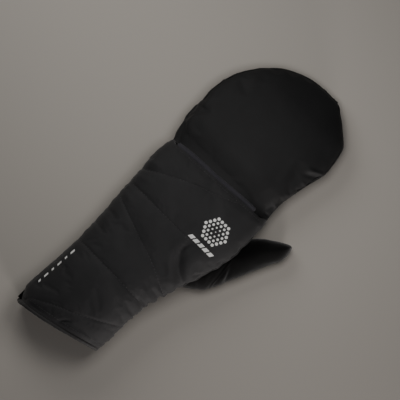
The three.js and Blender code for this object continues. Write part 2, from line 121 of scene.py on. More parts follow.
def in_metres(rows, place, width, height):
    """Sections in metres, from shares of a stretch's length, width and height."""
    return [
        [place(row[0]), *(v * width(row[0]) for v in row[1:4]), *(v * height(row[0]) for v in row[4:])]
        for row in rows
    ]


hood_width = from_hand(HAND_WIDTH, HOOD_WIDTH)
hood_height = from_hand(HAND_HEIGHT, HOOD_HEIGHT)
SECTIONS = np.array(
    in_metres(CUFF_SECTIONS, on_cuff, lambda _: CUFF_WIDTH, lambda _: CUFF_HEIGHT)
    + in_metres(HAND_SECTIONS, on_hand, lambda _: HAND_WIDTH, lambda _: HAND_HEIGHT)
    + in_metres(HOOD_SECTIONS, on_hood, hood_width, hood_height)
)
MOUTH_ROW = len(CUFF_SECTIONS) + len(HAND_SECTIONS) - 1
TIP_ROW = len(SECTIONS) - 1
HEM_Y, HEM_SLANT = SECTIONS[0, 0], SECTIONS[0, 3]
MOUTH_SLANT = SECTIONS[MOUTH_ROW, 3]
TIP_Y = SECTIONS[TIP_ROW, 0]


def between_rows(rows, row):
    """The table's columns at a place between two rows, on a Catmull-Rom spline."""
    i = np.clip(np.floor(row).astype(int), 0, len(rows) - 2)
    t = (row - i)[..., None]
    p, q, r, s = (rows[np.clip(i + k, 0, len(rows) - 1)] for k in (-1, 0, 1, 2))
    start, end, rise = (r - p) / 2, (s - q) / 2, r - q
    return q + start * t + (3 * rise - 2 * start - end) * t**2 + (start + end - 2 * rise) * t**3


FINE_STEPS = 4000
FINE_ROWS = np.linspace(0, TIP_ROW, FINE_STEPS)
FINE_Y = between_rows(SECTIONS, FINE_ROWS)[:, 0]


def row_at(y):
    """The row at which the glove's form passes a given y."""
    return np.interp(y, FINE_Y, FINE_ROWS)


def smooth(value, low, high):
    """A smooth step from 0 at the low value to 1 at the high one."""
    t = np.clip((value - low) / (high - low), 0, 1)
    return t * t * (3 - 2 * t)


def on_stretch(value, start, full, fading, end):
    """1 on a stretch of the value, and smoothly down to 0 at both its ends."""
    return smooth(value, start, full) * (1 - smooth(value, fading, end))


def form(row, angle, inset=0.0, floor=0.0):
    """Points of the glove's form. The angle is 0 at the thumb-side seam, a quarter turn on top and a half
    turn at the outer seam. The inset moves a point inwards, and it doesn't go below the floor."""
    row, angle, inset = np.broadcast_arrays(np.asarray(row, float), angle, inset)
    shares = np.moveaxis(between_rows(SECTIONS, row), -1, 0)
    y, outer, thumb, slant, top, bottom, outer_seam, thumb_seam = shares
    c, s = np.cos(angle), np.sin(angle)
    above = s >= 0
    power = np.where(above, 2 / ROUNDNESS_TOP, 2 / ROUNDNESS_PALM)
    across = np.sign(c) * np.abs(c) ** power
    rise = np.abs(s) ** power
    seam = outer_seam + (thumb_seam - outer_seam) * (1 + across) / 2
    over = seam + SEAM_SPLIT + np.maximum(0, top - inset - seam) * rise
    under = seam - SEAM_SPLIT - np.maximum(0, seam - bottom - inset) * rise
    pulled_back = np.where(y > MOUTH_Y, inset * (y - MOUTH_Y) / HOOD_LENGTH, 0)
    x = (outer + thumb) / 2 + across * ((thumb - outer) / 2 - inset)
    z = np.maximum(np.where(above, over, under), floor)
    return np.stack([x, y - pulled_back + slant * across, z], axis=-1)


def normals(grid):
    """Directions out of a grid whose rows run towards the fingertips."""
    n = np.cross(np.gradient(grid, axis=0), np.gradient(grid, axis=1))
    return n / np.maximum(np.linalg.norm(n, axis=-1, keepdims=True), 1e-12)


def mouth_y(angle):
    """The pocket's mouth dips towards the wrist between the side seams."""
    return MOUTH_Y - MOUTH_DIP * smooth(np.sin(angle), 0.1, 0.45)


def past_hem(grid, angle):
    """How far each point lies from the slanted hem, along the glove."""
    return grid[..., 1] - HEM_Y - HEM_SLANT * np.cos(angle)


# Quilting seams: y at the outer side and at the thumb side, the share of the width that each covers, and
# how much of the filling it presses down.
QUILT_SEAMS = [
    (on_hand(0.59), on_hand(1.1), 1, 0.26),
    (on_hand(0.45), on_hand(0.44), 0.68, 0.22),
    (on_hand(0.31), on_hand(-0.04), 1, 0.26),
    (on_cuff(0.25), on_cuff(0.26), 1, 0.28),
    (on_cuff(1.1), on_cuff(0.56), 1, 0.08),
]
SIDE_SHARE = 0.6


def quilt_distances(grid, row, angle):
    """How far each point is from every quilting seam, and from the panel's own edges."""
    _, outer, thumb, *_ = np.moveaxis(between_rows(SECTIONS, row), -1, 0)
    half = (thumb - outer) / 2
    share = (1 - np.cos(angle)) / 2
    y = grid[..., 1]
    seams = [
        np.hypot(y - (b + (a - b) * share), np.maximum(0, 1 - share - reach) * 2 * half)
        for a, b, reach, _ in QUILT_SEAMS
    ]
    edges = [
        past_hem(grid, angle),
        mouth_y(angle) + MOUTH_SLANT * np.cos(angle) - y,
        np.minimum(angle, math.pi - angle) * half * SIDE_SHARE,
    ]
    return np.maximum(0, seams), np.maximum(0, edges)


QUILT_GROOVE = 4.8 * MM


def filling(seams, edges):
    """How far the filling lifts the panel: nothing at its edges, and less along each quilting seam."""
    pressed = np.array([seam[3] for seam in QUILT_SEAMS])[:, None, None]
    dips = np.prod(1 - pressed * np.exp(-seams / QUILT_GROOVE), axis=0)
    return PADDING * dips * np.prod(1 - np.exp(-edges / QUILT_SHOULDER), axis=0)


def unevenness(points, wavelength, seed, waves=14):
    """Smooth, random and repeatable noise between about -1 and 1, from waves in random directions."""
    rng = np.random.default_rng(seed)
    direction = rng.normal(size=(waves, 3))
    direction /= np.linalg.norm(direction, axis=1, keepdims=True)
    pitch = wavelength * rng.uniform(0.7, 1.5, waves)
    phase = rng.uniform(0, 2 * math.pi, waves)
    heights = (np.sin(points @ direction[k] * 2 * math.pi / pitch[k] + phase[k]) for k in range(waves))
    return sum(heights) / math.sqrt(waves)


def bend(start, middle, end, steps=14):
    """Points on the arc of a fold that starts, bends and ends at three places seen from above."""
    a, b, c = (np.array(p) * MM for p in (start, middle, end))
    t = np.linspace(0, 1, steps)[:, None]
    return a * (1 - t) ** 2 + 2 * b * t * (1 - t) + c * t**2


FOLD_END = 0.12


def folded(grid, folds, angle):
    """Height that folds add to a grid: ridges where it is positive, creases where it is negative. A fold
    with a lean is steeper on its left side, seen from above and along it."""
    height = np.zeros(grid.shape[:2])
    for start, middle, end, rise, breadth, lean in folds:
        path = bend(start, middle, end)
        away = np.full_like(height, np.inf)
        fade = np.zeros_like(height)
        left = np.zeros_like(height)
        for k in range(len(path) - 1):
            a, step = path[k], path[k + 1] - path[k]
            beside = grid[..., :2] - a
            t = np.clip((beside @ step) / (step @ step), 0, 1)
            d = np.linalg.norm(beside - t[..., None] * step, axis=-1)
            nearer = d < away
            away = np.where(nearer, d, away)
            fade = np.where(nearer, (k + t) / (len(path) - 1), fade)
            left = np.where(nearer, np.sign(step[0] * beside[..., 1] - step[1] * beside[..., 0]), left)
        strength = np.sin(np.clip(FOLD_END + (1 - 2 * FOLD_END) * fade, 0, 1) * math.pi)
        spread = breadth * MM * (1 - lean * left)
        height += rise * MM * strength * np.exp(-2 * (away / spread) ** 2)
    return height * smooth(np.abs(np.sin(angle)), 0.03, 0.25)


# Folds of the panel, seen from above in millimetres: start, bend and end, height, breadth and lean.
PANEL_FOLDS = [
    ((22.5, -31), (12.5, -52.5), (40, -69.5), 1.8, 7.0, 0.1),
    ((28.5, -32), (19.5, -51), (45, -64), -3.3, 6.8, 0.2),
    ((39, -33), (31, -49), (50, -58), 1.4, 8, 0),
    ((31, -71), (36, -71), (42, -67), 0.8, 4.5, 0),
    ((-3, -156), (10, -152), (24, -152), -1.2, 2.8, 0),
    ((1, -161), (11, -157), (22, -157), 0.9, 4, 0),
    ((-7, -161.5), (-4, -159), (0, -155.5), -1.4, 2.3, 0),
    ((6, -143), (12, -140), (20, -135), -0.5, 2.2, 0),
    ((25, -155), (28, -151), (34, -149), -0.9, 2.8, 0),
    ((37, -101), (33, -101), (27, -100), -1.7, 3, 0),
    ((-49, -15), (-44, -14), (-38, -9), -1.2, 3.2, 0),
    ((-50, -9), (-46, -7), (-41, -3), 0.9, 4, 0),
    ((-48, -24), (-44, -24), (-36, -19), 0.7, 4, 0),
    ((-48, -33), (-42, -32), (-34, -33), -0.7, 3, 0),
    ((-47, -41), (-42, -42), (-35, -45), 0.6, 4, 0),
    ((-46, -63), (-41, -62), (-35, -64), -1.2, 3.2, 0),
    ((-46, -70), (-40, -70), (-33, -72), 0.7, 4, 0),
    ((-46, -79), (-40, -78), (-34, -80), -1.0, 3, 0),
    ((-46, -108), (-40, -110), (-34, -109), -0.5, 3.5, 0),
    ((-48, -126), (-41, -128), (-36, -126), -0.5, 3.5, 0),
    ((39, -78), (34, -79), (29, -77), -0.9, 2.8, 0),
    ((37, -85), (33, -86), (28, -84), -0.8, 2.8, 0),
    ((36, -92), (31, -93), (27, -91), 0.7, 3.2, 0),
    ((34, -112), (29, -113), (24, -110), -0.7, 3, 0),
    ((34, -122), (30, -123), (25, -121), -0.6, 3, 0),
    ((50, 19), (55, 22), (61, 22), 1.0, 4, 0),
]


def cells(index, turned=False):
    """The four-sided faces between a grid's points, from their numbers. Turned ones face the other way."""
    a, b, c, d = index[:-1, :-1], index[1:, :-1], index[1:, 1:], index[:-1, 1:]
    return np.stack((a, d, c, b) if turned else (a, b, c, d), axis=-1).reshape(-1, 4).tolist()


def numbered(grid, first=0):
    """A number for each point of a grid."""
    return np.arange(first, first + grid[..., 0].size).reshape(grid.shape[:2])


def in_scene(name, data):
    """A new object in the scene, of a mesh, a light or a camera."""
    made = bpy.data.objects.new(name, data)
    bpy.context.scene.collection.objects.link(made)
    return made


SETTLING_FRAMES = 20


def settle(name, grid, weights, slack, pressure, cap, stiffness, bending):
    """Lets cloth settle from a grid: held where the weights are 1, cut larger by the slack, and blown up
    from inside. No point moves further than the cap. Returns how each point moved."""
    data = bpy.data.meshes.new(name)
    data.from_pydata(grid.reshape(-1, 3).tolist(), [], cells(numbered(grid)))
    cloth = in_scene(name, data)
    held = cloth.vertex_groups.new(name="held")
    for index, weight in enumerate(weights.ravel()):
        held.add([index], float(weight), "REPLACE")
    modifier = cloth.modifiers.new("settle", "CLOTH")
    settings = modifier.settings
    settings.quality = 6
    settings.mass = 0.2
    settings.tension_stiffness = stiffness
    settings.compression_stiffness = stiffness
    settings.shear_stiffness = stiffness / 2
    settings.bending_stiffness = bending
    settings.air_damping = 4
    settings.vertex_group_mass = "held"
    settings.pin_stiffness = 4
    settings.shrink_min = -slack
    settings.use_pressure = True
    settings.uniform_pressure_force = pressure
    settings.effector_weights.gravity = 0
    modifier.collision_settings.use_collision = False
    modifier.point_cache.frame_start = 1
    modifier.point_cache.frame_end = SETTLING_FRAMES
    for number in range(1, SETTLING_FRAMES + 1):
        bpy.context.scene.frame_set(number)
    settled = cloth.evaluated_get(bpy.context.evaluated_depsgraph_get()).to_mesh()
    after = np.zeros(grid.size)
    settled.vertices.foreach_get("co", after)
    moved = after.reshape(grid.shape) - grid
    bpy.context.scene.frame_set(1)
    bpy.data.objects.remove(cloth)
    length = np.linalg.norm(moved, axis=-1, keepdims=True)
    return moved * np.minimum(1, cap / np.maximum(length, 1e-9))


def refined(grid):
    """The same grid with twice as many cells each way, on a smooth curve through its points."""
    for axis in (0, 1):
        g = np.swapaxes(grid, 0, axis)
        ends = np.concatenate([2 * g[:1] - g[1:2], g, 2 * g[-1:] - g[-2:-1]])
        middles = (9 * (ends[1:-2] + ends[2:-1]) - ends[:-3] - ends[3:]) / 16
        fine = np.empty((2 * len(g) - 1, *g.shape[1:]))
        fine[::2], fine[1::2] = g, middles
        grid = np.swapaxes(fine, 0, axis)
    return grid


def cloth_map(grid):
    """Lengths along the cloth, in metres, measured from its middle column and its first row."""
    across = np.linalg.norm(np.diff(grid, axis=1), axis=-1)
    u = np.concatenate([np.zeros((len(grid), 1)), np.cumsum(across, axis=1)], axis=1)
    u -= u[:, [u.shape[1] // 2]]
    middle = grid[:, grid.shape[1] // 2]
    v = np.concatenate([[0], np.cumsum(np.linalg.norm(np.diff(middle, axis=0), axis=-1))])
    return np.stack([u, np.broadcast_to(v[:, None], u.shape)], axis=-1)


WALL_EDGE_ANGLE = 48


def wall(name, outer, inner, materials, wear=None):
    """A closed wall of cloth between an outer grid and an inner one with half as many cells each way.
    The first material is the outside, the second the lining. Wear is 1 where the cloth is rubbed."""
    numbers = (numbered(outer), numbered(inner, outer[..., 0].size))
    faces = cells(numbers[0])
    outside = len(faces)
    faces += cells(numbers[1], turned=True)
    inside = len(faces)
    far, near = (
        np.concatenate([g[0], g[1:, -1], g[-1, -2::-1], g[-2:0:-1, 0]]).tolist() for g in numbers
    )
    for k, here in enumerate(near):
        after = near[(k + 1) % len(near)]
        first, middle, last = far[2 * k], far[2 * k + 1], far[(2 * k + 2) % len(far)]
        faces += [(first, middle, here), (middle, after, here), (middle, last, after)]
    data = bpy.data.meshes.new(name)
    points = np.concatenate([outer.reshape(-1, 3), inner.reshape(-1, 3)])
    data.from_pydata(points.tolist(), [], faces)
    for material in materials:
        data.materials.append(material)
    slots = np.zeros(len(faces), np.int32)
    slots[outside:inside] = len(materials) - 1
    data.polygons.foreach_set("material_index", slots)
    places = np.concatenate([cloth_map(outer).reshape(-1, 2), cloth_map(inner).reshape(-1, 2)])
    corners = np.zeros(len(data.loops), np.int32)
    data.loops.foreach_get("vertex_index", corners)
    data.uv_layers.new(name="cloth").data.foreach_set("uv", places[corners].ravel())
    rubbed = np.zeros(len(points))
    if wear is not None:
        rubbed[: wear.size] = wear.ravel()
    data.attributes.new("wear", "FLOAT", "POINT").data.foreach_set("value", rubbed.astype(np.float32))
    data.polygons.foreach_set("use_smooth", [True] * len(faces))
    data.set_sharp_from_angle(angle=math.radians(WALL_EDGE_ANGLE))
    data.update()
    return in_scene(name, data)


def finished(piece, slot, *nodes):
    """Ends a piece: it moves with the glove and stands for its CAD nodes, if any. Its slot is not used."""
    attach(piece, "root")
    if nodes:
        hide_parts(*nodes)


def node(tree, kind, links=None, **settings):
    """A shader or geometry node with its settings, and its inputs set or linked by name."""
    made = tree.nodes.new(kind)
    for key, value in settings.items():
        setattr(made, key, value)
    for key, value in (links or {}).items():
        if isinstance(value, bpy.types.NodeSocket):
            tree.links.new(value, made.inputs[key])
        else:
            made.inputs[key].default_value = value
    return made


def ramp(tree, value, stops):
    """A smooth colour ramp from a value, given as pairs of place and colour."""
    made = node(tree, "ShaderNodeValToRGB", {"Fac": value})
    made.color_ramp.interpolation = "EASE"
    for k, (place, colour) in enumerate(stops):
        element = made.color_ramp.elements[k] if k < 2 else made.color_ramp.elements.new(place)
        element.position = place
        element.color = (*colour, 1)
    return made.outputs["Color"]


def scalar(tree, operation, a, b=0.0, c=0.0):
    """The result of a sum on up to three values."""
    made = node(tree, "ShaderNodeMath", {0: a, 1: b, 2: c}, operation=operation)
    return made.outputs[0]


def noise(tree, place, scale, detail, roughness=0.5):
    """A noise pattern between 0 and 1."""
    links = {"Vector": place, "Scale": scale, "Detail": detail, "Roughness": roughness}
    return node(tree, "ShaderNodeTexNoise", links).outputs["Fac"]


def bump(tree, height, distance, strength, below=None):
    """A relief of a depth in metres, on top of another one if that is given."""
    links = {"Height": height, "Distance": distance, "Strength": strength}
    if below is not None:
        links["Normal"] = below
    return node(tree, "ShaderNodeBump", links).outputs["Normal"]


# Blender's wave texture turns by 20 radians for each unit of its scale.
WAVE_TURN = 20
MOTTLE_SCALE = 42.0
CRUMPLE_SCALE = 130.0
FIBRE_TONE = 0.45
MOTTLE_TONE = 0.55
RUBBED_TONE = 0.35
DARKEST_TONE = 0.28
PALEST_TONE = 0.78
ROUGHNESS_RANGE = 0.18


def cloth_material(name, dark, light, roughness, thread, weave_depth, sheen, specular, crumple, nap=0.0,
                   lies_flat=True):
    """Woven or napped cloth: crossing threads of one width, a mottled dye, and rubbed edges that are paler.
    Thread and depths are in metres. Its threads follow the cloth's own map where the cloth lies flat."""
    material = bpy.data.materials.new(name)
    material.use_nodes = True
    tree = material.node_tree
    shader = tree.nodes["Principled BSDF"]
    solid = node(tree, "ShaderNodeTexCoord").outputs["Object"]
    place = node(tree, "ShaderNodeUVMap", uv_map="cloth").outputs["UV"] if lies_flat else solid
    wave = 2 * math.pi / (WAVE_TURN * 2 * thread)
    bands = {"Vector": place, "Scale": wave, "Distortion": 0.6, "Detail": 1.0}
    warp, weft = (
        node(tree, "ShaderNodeTexWave", bands, bands_direction=way).outputs["Fac"] for way in ("X", "Y")
    )
    weave = scalar(tree, "MAXIMUM", warp, weft)
    fibres = noise(tree, place, 0.45 / thread, 4.0, 0.65)
    mottle = noise(tree, solid, MOTTLE_SCALE, 5.0, 0.55)
    rubbed = node(tree, "ShaderNodeAttribute", attribute_name="wear").outputs["Fac"]
    tone = scalar(tree, "MULTIPLY_ADD", fibres, FIBRE_TONE, scalar(tree, "MULTIPLY", mottle, MOTTLE_TONE))
    tone = scalar(tree, "MULTIPLY_ADD", rubbed, RUBBED_TONE, tone)
    dye = ramp(tree, tone, [(DARKEST_TONE, dark), (PALEST_TONE, light)])
    tree.links.new(dye, shader.inputs["Base Color"])
    rough = scalar(tree, "MULTIPLY_ADD", fibres, ROUGHNESS_RANGE, roughness - ROUGHNESS_RANGE / 2)
    tree.links.new(rough, shader.inputs["Roughness"])
    shader.inputs["Specular IOR Level"].default_value = specular
    shader.inputs["Sheen Weight"].default_value = sheen
    shader.inputs["Sheen Roughness"].default_value = 0.42
    relief = bump(tree, noise(tree, solid, CRUMPLE_SCALE, 3.0), crumple, 1.0)
    relief = bump(tree, fibres, thread * (0.25 + nap), 0.6, relief)
    relief = bump(tree, weave, weave_depth, 0.8, relief)
    tree.links.new(relief, shader.inputs["Normal"])
    return material


softshell = cloth_material(
    "softshell", (0.0125, 0.0125, 0.0133), (0.0225, 0.022, 0.023), roughness=0.72,
    thread=0.4 * MM, weave_depth=0.06 * MM, sheen=0.14, specular=0.3, crumple=0.16 * MM)
fleece = cloth_material(
    "fleece lining", (0.013, 0.013, 0.014), (0.03, 0.03, 0.031), roughness=0.95,
    thread=1.1 * MM, weave_depth=0.0, sheen=0.35, specular=0.1, crumple=0.6 * MM, nap=0.5)

PANEL_ROWS = 130
PANEL_COLUMNS = 96


def panel_angles(columns):
    """Angles from the thumb seam over the top to the outer seam."""
    return np.linspace(0, math.pi, columns + 1)[None, :]


def panel_rows(rows, front):
    """Rows of the table spaced evenly from the hem to a front edge at the given y."""
    share = np.linspace(0, 1, rows + 1)[:, None]
    return row_at(HEM_Y + (front - HEM_Y) * share)


CORNER_DRAWN_IN = 4.2 * MM
CORNER_LENGTH = 16 * MM
RIM_WAVE = 0.7 * MM
RIM_LONG_RUN = 2.9 * MM
RIM_SHORT_RUN = 1.7 * MM
RIM_STRETCH = (-72 * MM, -60 * MM, -4 * MM, 6 * MM)
HEM_WAVE = 1.5 * MM
HEM_WAVE_REACH = 20 * MM


def outer_side(angle):
    """1 at the outer seam, and 0 away from it."""
    return smooth(-np.cos(angle), 0.6, 0.96)


def outer_corner(grid, angle):
    """1 at the outer corner of the hem, and 0 away from it."""
    return (1 - smooth(past_hem(grid, angle), 0, CORNER_LENGTH)) * outer_side(angle)


def rim_wave(y):
    """How the panel's rim over the thumb runs in and out."""
    run = np.sin(y / RIM_LONG_RUN) * 0.5 + np.sin(y / RIM_SHORT_RUN + 1) * 0.35
    return RIM_WAVE * run * on_stretch(y, *RIM_STRETCH)


def hem_wave(angle):
    """How the hem runs out and back over the top of the cuff."""
    return -HEM_WAVE * np.maximum(0, np.sin(angle)) * (0.5 + 0.5 * np.sin(2.3 * angle - 2.6))


def drawn_in(grid, angle):
    """The panel's rims as they are sewn: the hem runs out and back, the rim over the thumb is wavy, and the
    outer corner is drawn in and rounded, so that the palm's edge shows past it."""
    aside = outer_corner(grid, angle) * CORNER_DRAWN_IN
    aside = aside + rim_wave(grid[..., 1]) * smooth(np.cos(angle), 0.9, 1)
    along = hem_wave(angle) * (1 - smooth(past_hem(grid, angle), 0, HEM_WAVE_REACH))
    return grid + np.stack([aside, along, np.zeros_like(aside)], axis=-1)


UNEVEN_HEIGHT = 0.25 * MM
UNEVEN_LENGTH = 42 * MM
EVEN_AT_EDGE = 8 * MM


def panel_surface(rows, columns):
    """The quilted panel as it is sewn: its form with its filling and folds, how far each point lies from
    the seams and edges, and the form alone."""
    angle = panel_angles(columns)
    row = panel_rows(rows, mouth_y(angle))
    flat = drawn_in(form(row, angle), angle)
    seams, edges = quilt_distances(flat, row, np.broadcast_to(angle, row.shape))
    height = filling(seams, edges) + folded(flat, PANEL_FOLDS, angle)
    uneven = UNEVEN_HEIGHT * unevenness(flat, UNEVEN_LENGTH, 3)
    height += uneven * smooth(edges.min(axis=0), 0, EVEN_AT_EDGE)
    return flat + normals(flat) * height[..., None], seams, edges, flat


HELD_BESIDE_SEAM = 1.2 * MM
SWELL_SHOULDER = 1.6 * MM

panel, seam_distance, edge_distance, _ = panel_surface(PANEL_ROWS, PANEL_COLUMNS)
moved = np.zeros_like(panel)
nearest = np.minimum(seam_distance.min(axis=0), edge_distance.min(axis=0))
held = np.where(nearest < HELD_BESIDE_SEAM, 1.0, 0.0)
moved = settle("panel cloth", panel, held, slack=0.005, pressure=3.5, cap=2.0 * MM,
               stiffness=12.0, bending=2.5)

panel, seam_distance, edge_distance, panel_flat = panel_surface(2 * PANEL_ROWS, 2 * PANEL_COLUMNS)
nearest_seam = seam_distance.min(axis=0)
nearest = np.minimum(nearest_seam, edge_distance.min(axis=0))
panel += refined(moved) * (1 - np.exp(-nearest / SWELL_SHOULDER))[..., None]

# Stitching makes small puckers along each seam and gathers along both sides, most of all below the thumb.
PUCKER_HEIGHT = 0.1 * MM
PUCKER_LENGTH = 6 * MM
PUCKER_REACH = 3.5 * MM
GATHER_HEIGHT = 1.1 * MM
GATHER_LENGTH = 5.5 * MM
BELOW_THUMB = (58 * MM, 70 * MM, 138 * MM, 158 * MM)
PULLED_IN = 0.35 * MM
PULLED_BREADTH = 0.75 * MM
SEWN_EDGE = 1.5 * MM
RUBBED_BREADTH = 1.4 * MM

puckers = unevenness(panel_flat * [1, 0.25, 0], PUCKER_LENGTH, 11) * np.exp(-nearest_seam / PUCKER_REACH)
side_distance = edge_distance[2]
gathers = unevenness(panel_flat * [0, 1, 0], GATHER_LENGTH, 12) * np.exp(-side_distance / GATHER_LENGTH)
gathers *= smooth(side_distance, 0, SEWN_EDGE)
below_thumb = on_stretch(-panel_flat[..., 1], *BELOW_THUMB)
gathers *= np.where(panel_angles(panel.shape[1] - 1) < 1, 0.3 + below_thumb, 0.4)
stitched_in = np.exp(-((nearest_seam / PULLED_BREADTH) ** 2))
relief = PUCKER_HEIGHT * puckers + GATHER_HEIGHT * gathers - PULLED_IN * stitched_in
relief *= smooth(edge_distance.min(axis=0), 0, SEWN_EDGE)
panel += normals(panel) * relief[..., None]

inside_angle = panel_angles(PANEL_COLUMNS)
inside_row = panel_rows(PANEL_ROWS, mouth_y(inside_angle))
panel_inside = drawn_in(form(inside_row, inside_angle, PANEL_WALL), inside_angle)
panel_wear = 0.8 * np.exp(-nearest / RUBBED_BREADTH) + 0.25 * unevenness(panel_flat, 20 * MM, 5)
panel_wear = np.clip(panel_wear - 0.1, 0, 1)
back_panel = wall("back_panel_quilted", panel, panel_inside, [softshell, fleece], panel_wear)
finished(back_panel, "quilted_softshell", "back_panel")

# Palm panel: the underside of the hand and cuff, one piece of black synthetic suede over the lining. It
# is sewn to the back along both sides, and the thumb's opening is cut in its thumb side.
PALM_WALL = 2.2 * MM
HOOD_WALL = 1.6 * MM
HOOD_LIP = 12 * MM
THUMB_LENGTH = 78 * MM
THUMB_WIDTH = 30 * MM
THUMB_HEIGHT = 25 * MM
THUMB_SPLAY = math.radians(29.4)
THUMB_BASE = (0.446 * HAND_WIDTH, on_hand(0.38))
THUMB_WALL = 2 * MM

# Sections of the thumb from inside the hand to its tip, as shares of its length, width and height:
# along, crotch side, outside, top and bottom.
THUMB_SECTIONS = np.array([
    (-0.42, -0.43, 0.1, 0.86, -0.1),
    (-0.306, -0.5, 0.35, 0.92, -0.1),
    (-0.166, -0.53, 0.51, 0.97, -0.1),
    (-0.038, -0.55, 0.6, 1.0, -0.1),
    (0.115, -0.55, 0.567, 1.0, -0.1),
    (0.268, -0.533, 0.52, 1.0, -0.1),
    (0.433, -0.517, 0.477, 0.98, -0.1),
    (0.599, -0.473, 0.427, 0.96, -0.1),
    (0.726, -0.367, 0.4, 0.93, -0.08),
    (0.828, -0.25, 0.393, 0.88, -0.04),
    (0.904, -0.14, 0.327, 0.79, 0.02),
    (0.968, -0.033, 0.217, 0.64, 0.1),
    (1.0, 0.033, 0.127, 0.47, 0.2),
    (1.003, 0.075, 0.085, 0.35, 0.32),
])


def thumb_point(along, side, height):
    """A point of the thumb, from its place along and beside the thumb's axis."""
    c, s = math.cos(THUMB_SPLAY), math.sin(THUMB_SPLAY)
    x = THUMB_BASE[0] + along * s + side * c
    y = THUMB_BASE[1] + along * c - side * s
    return np.stack(np.broadcast_arrays(x, y, height), axis=-1)


def thumb_form(rows, sides, inset=0.0):
    """The thumb's form as a grid round its axis, from inside the hand to its tip."""
    place = np.linspace(0, len(THUMB_SECTIONS) - 1, rows + 1)[:, None]
    along, crotch, outside, top, bottom = np.moveaxis(between_rows(THUMB_SECTIONS, place), -1, 0)
    angle = np.linspace(0, 2 * math.pi, sides, endpoint=False)[None, :]
    half = np.maximum(0.2 * MM, (outside - crotch) / 2 * THUMB_WIDTH - inset)
    low, high = bottom * THUMB_HEIGHT + inset, top * THUMB_HEIGHT - inset
    height = low + (high - low) * (1 + np.sin(angle)) / 2
    side = (crotch + outside) / 2 * THUMB_WIDTH + half * np.cos(angle)
    return thumb_point(along * (THUMB_LENGTH - inset), side, np.maximum(height, inset))


def path_length(points):
    """The length of a path up to each of its points."""
    return np.concatenate([[0], np.cumsum(np.linalg.norm(np.diff(points, axis=0), axis=1))])


def tube(name, grid, closed=False):
    """A closed body through rings of points, ended with caps, or joined from its last ring to its first."""
    index = numbered(grid)
    along = index if not closed else np.concatenate([index, index[:1]])
    faces = cells(np.concatenate([along, along[:, :1]], axis=1), turned=True)
    line = np.concatenate([grid[:, 0], grid[:1, 0]]) if closed else grid[:, 0]
    middle = grid[len(grid) // 2]
    ring = np.concatenate([middle, middle[:1]])
    u, v = np.meshgrid(path_length(line), path_length(ring), indexing="ij")
    places = np.stack([u, v], axis=-1)
    corners = [places[:-1, :-1], places[:-1, 1:], places[1:, 1:], places[1:, :-1]]
    corners = np.stack(corners, axis=2).reshape(-1, 2)
    if not closed:
        faces += [index[0, ::-1].tolist(), index[-1].tolist()]
        corners = np.concatenate([corners, places[0, :-1][::-1], places[-1, :-1]])
    data = bpy.data.meshes.new(name)
    data.from_pydata(grid.reshape(-1, 3).tolist(), [], faces)
    data.uv_layers.new(name="cloth").data.foreach_set("uv", corners.ravel())
    data.attributes.new("wear", "FLOAT", "POINT")
    data.polygons.foreach_set("use_smooth", [True] * len(faces))
    shell = bmesh.new()
    shell.from_mesh(data)
    bmesh.ops.recalc_face_normals(shell, faces=shell.faces)
    shell.to_mesh(data)
    shell.free()
    return in_scene(name, data)


def plain_mesh(piece):
    """The mesh that a piece's modifiers give."""
    return bpy.data.meshes.new_from_object(piece.evaluated_get(bpy.context.evaluated_depsgraph_get()))


def cut(piece, cutter, operation="DIFFERENCE"):
    """Cuts one closed body with another, and leaves a plain mesh."""
    modifier = piece.modifiers.new("cut", "BOOLEAN")
    modifier.object = cutter
    modifier.operation = operation
    modifier.solver = "EXACT"
    result = plain_mesh(piece)
    piece.modifiers.clear()
    piece.data = result
    return piece


LIP_DEPTH = HOOD_WALL + 1.2 * MM
LIP_BACK = MOUTH_Y - HOOD_LIP


def lip_space(y, angle):
    """Space for the hood's lip under the front of the palm."""
    along = smooth(y, LIP_BACK - 6 * MM, LIP_BACK - 1 * MM)
    return LIP_DEPTH * along * smooth(np.abs(np.sin(angle)), 0.12, 0.42)


suede = cloth_material(
    "black suede", (0.0018, 0.0017, 0.0017), (0.0048, 0.0046, 0.0045), roughness=0.9,
    thread=0.3 * MM, weave_depth=0.0, sheen=0.4, specular=0.1, crumple=0.3 * MM, nap=0.35)


def palm_surface(rows, columns, inset=0.0):
    """The palm's form with the lip's space in its front, and the angles of its points."""
    angle = math.pi + panel_angles(columns)
    row = panel_rows(rows, np.full_like(angle, MOUTH_Y))
    y = between_rows(SECTIONS, row)[..., 0]
    clear = inset + lip_space(y, angle)
    if inset:
        clear = clear + (CORNER_DRAWN_IN - PALM_WALL / 2) * outer_corner(form(row, angle), angle)
    return form(row, angle, clear, inset + lip_space(y, angle)), np.broadcast_to(angle, row.shape)


SHORT_SLACK = 0.14 * MM
SHORT_SLACK_LENGTH = 9 * MM


def side_slack(grid, angle, flank, height, length, seed):
    """How loose cloth stands out and in on its flanks, in a long wave and in a short one."""
    flanks = smooth(np.abs(np.cos(angle)), flank, 0.95) * smooth(np.abs(np.sin(angle)), 0, 0.2)
    short_wave = SHORT_SLACK * unevenness(grid, SHORT_SLACK_LENGTH, seed + 1)
    return (height * unevenness(grid, length, seed) + short_wave) * flanks


PALM_ROWS = 110
PALM_COLUMNS = 48
OPENING_HEM = 1 * MM

palm, palm_angle = palm_surface(2 * PALM_ROWS, 2 * PALM_COLUMNS)
palm_slack = side_slack(palm, palm_angle, flank=0.55, height=0.3 * MM, length=24 * MM, seed=21)
palm += normals(palm) * palm_slack[..., None]
palm[..., 2] = np.maximum(palm[..., 2], 0)
palm_inside, _ = palm_surface(PALM_ROWS, PALM_COLUMNS, PALM_WALL)
palm_panel = wall("palm_panel_suede", palm, palm_inside, [suede, fleece])
thumb_opening = tube("thumb opening", thumb_form(60, 48, THUMB_WALL + OPENING_HEM))
cut(palm_panel, thumb_opening)
bpy.data.objects.remove(thumb_opening)
finished(palm_panel, "suede", "palm_panel")

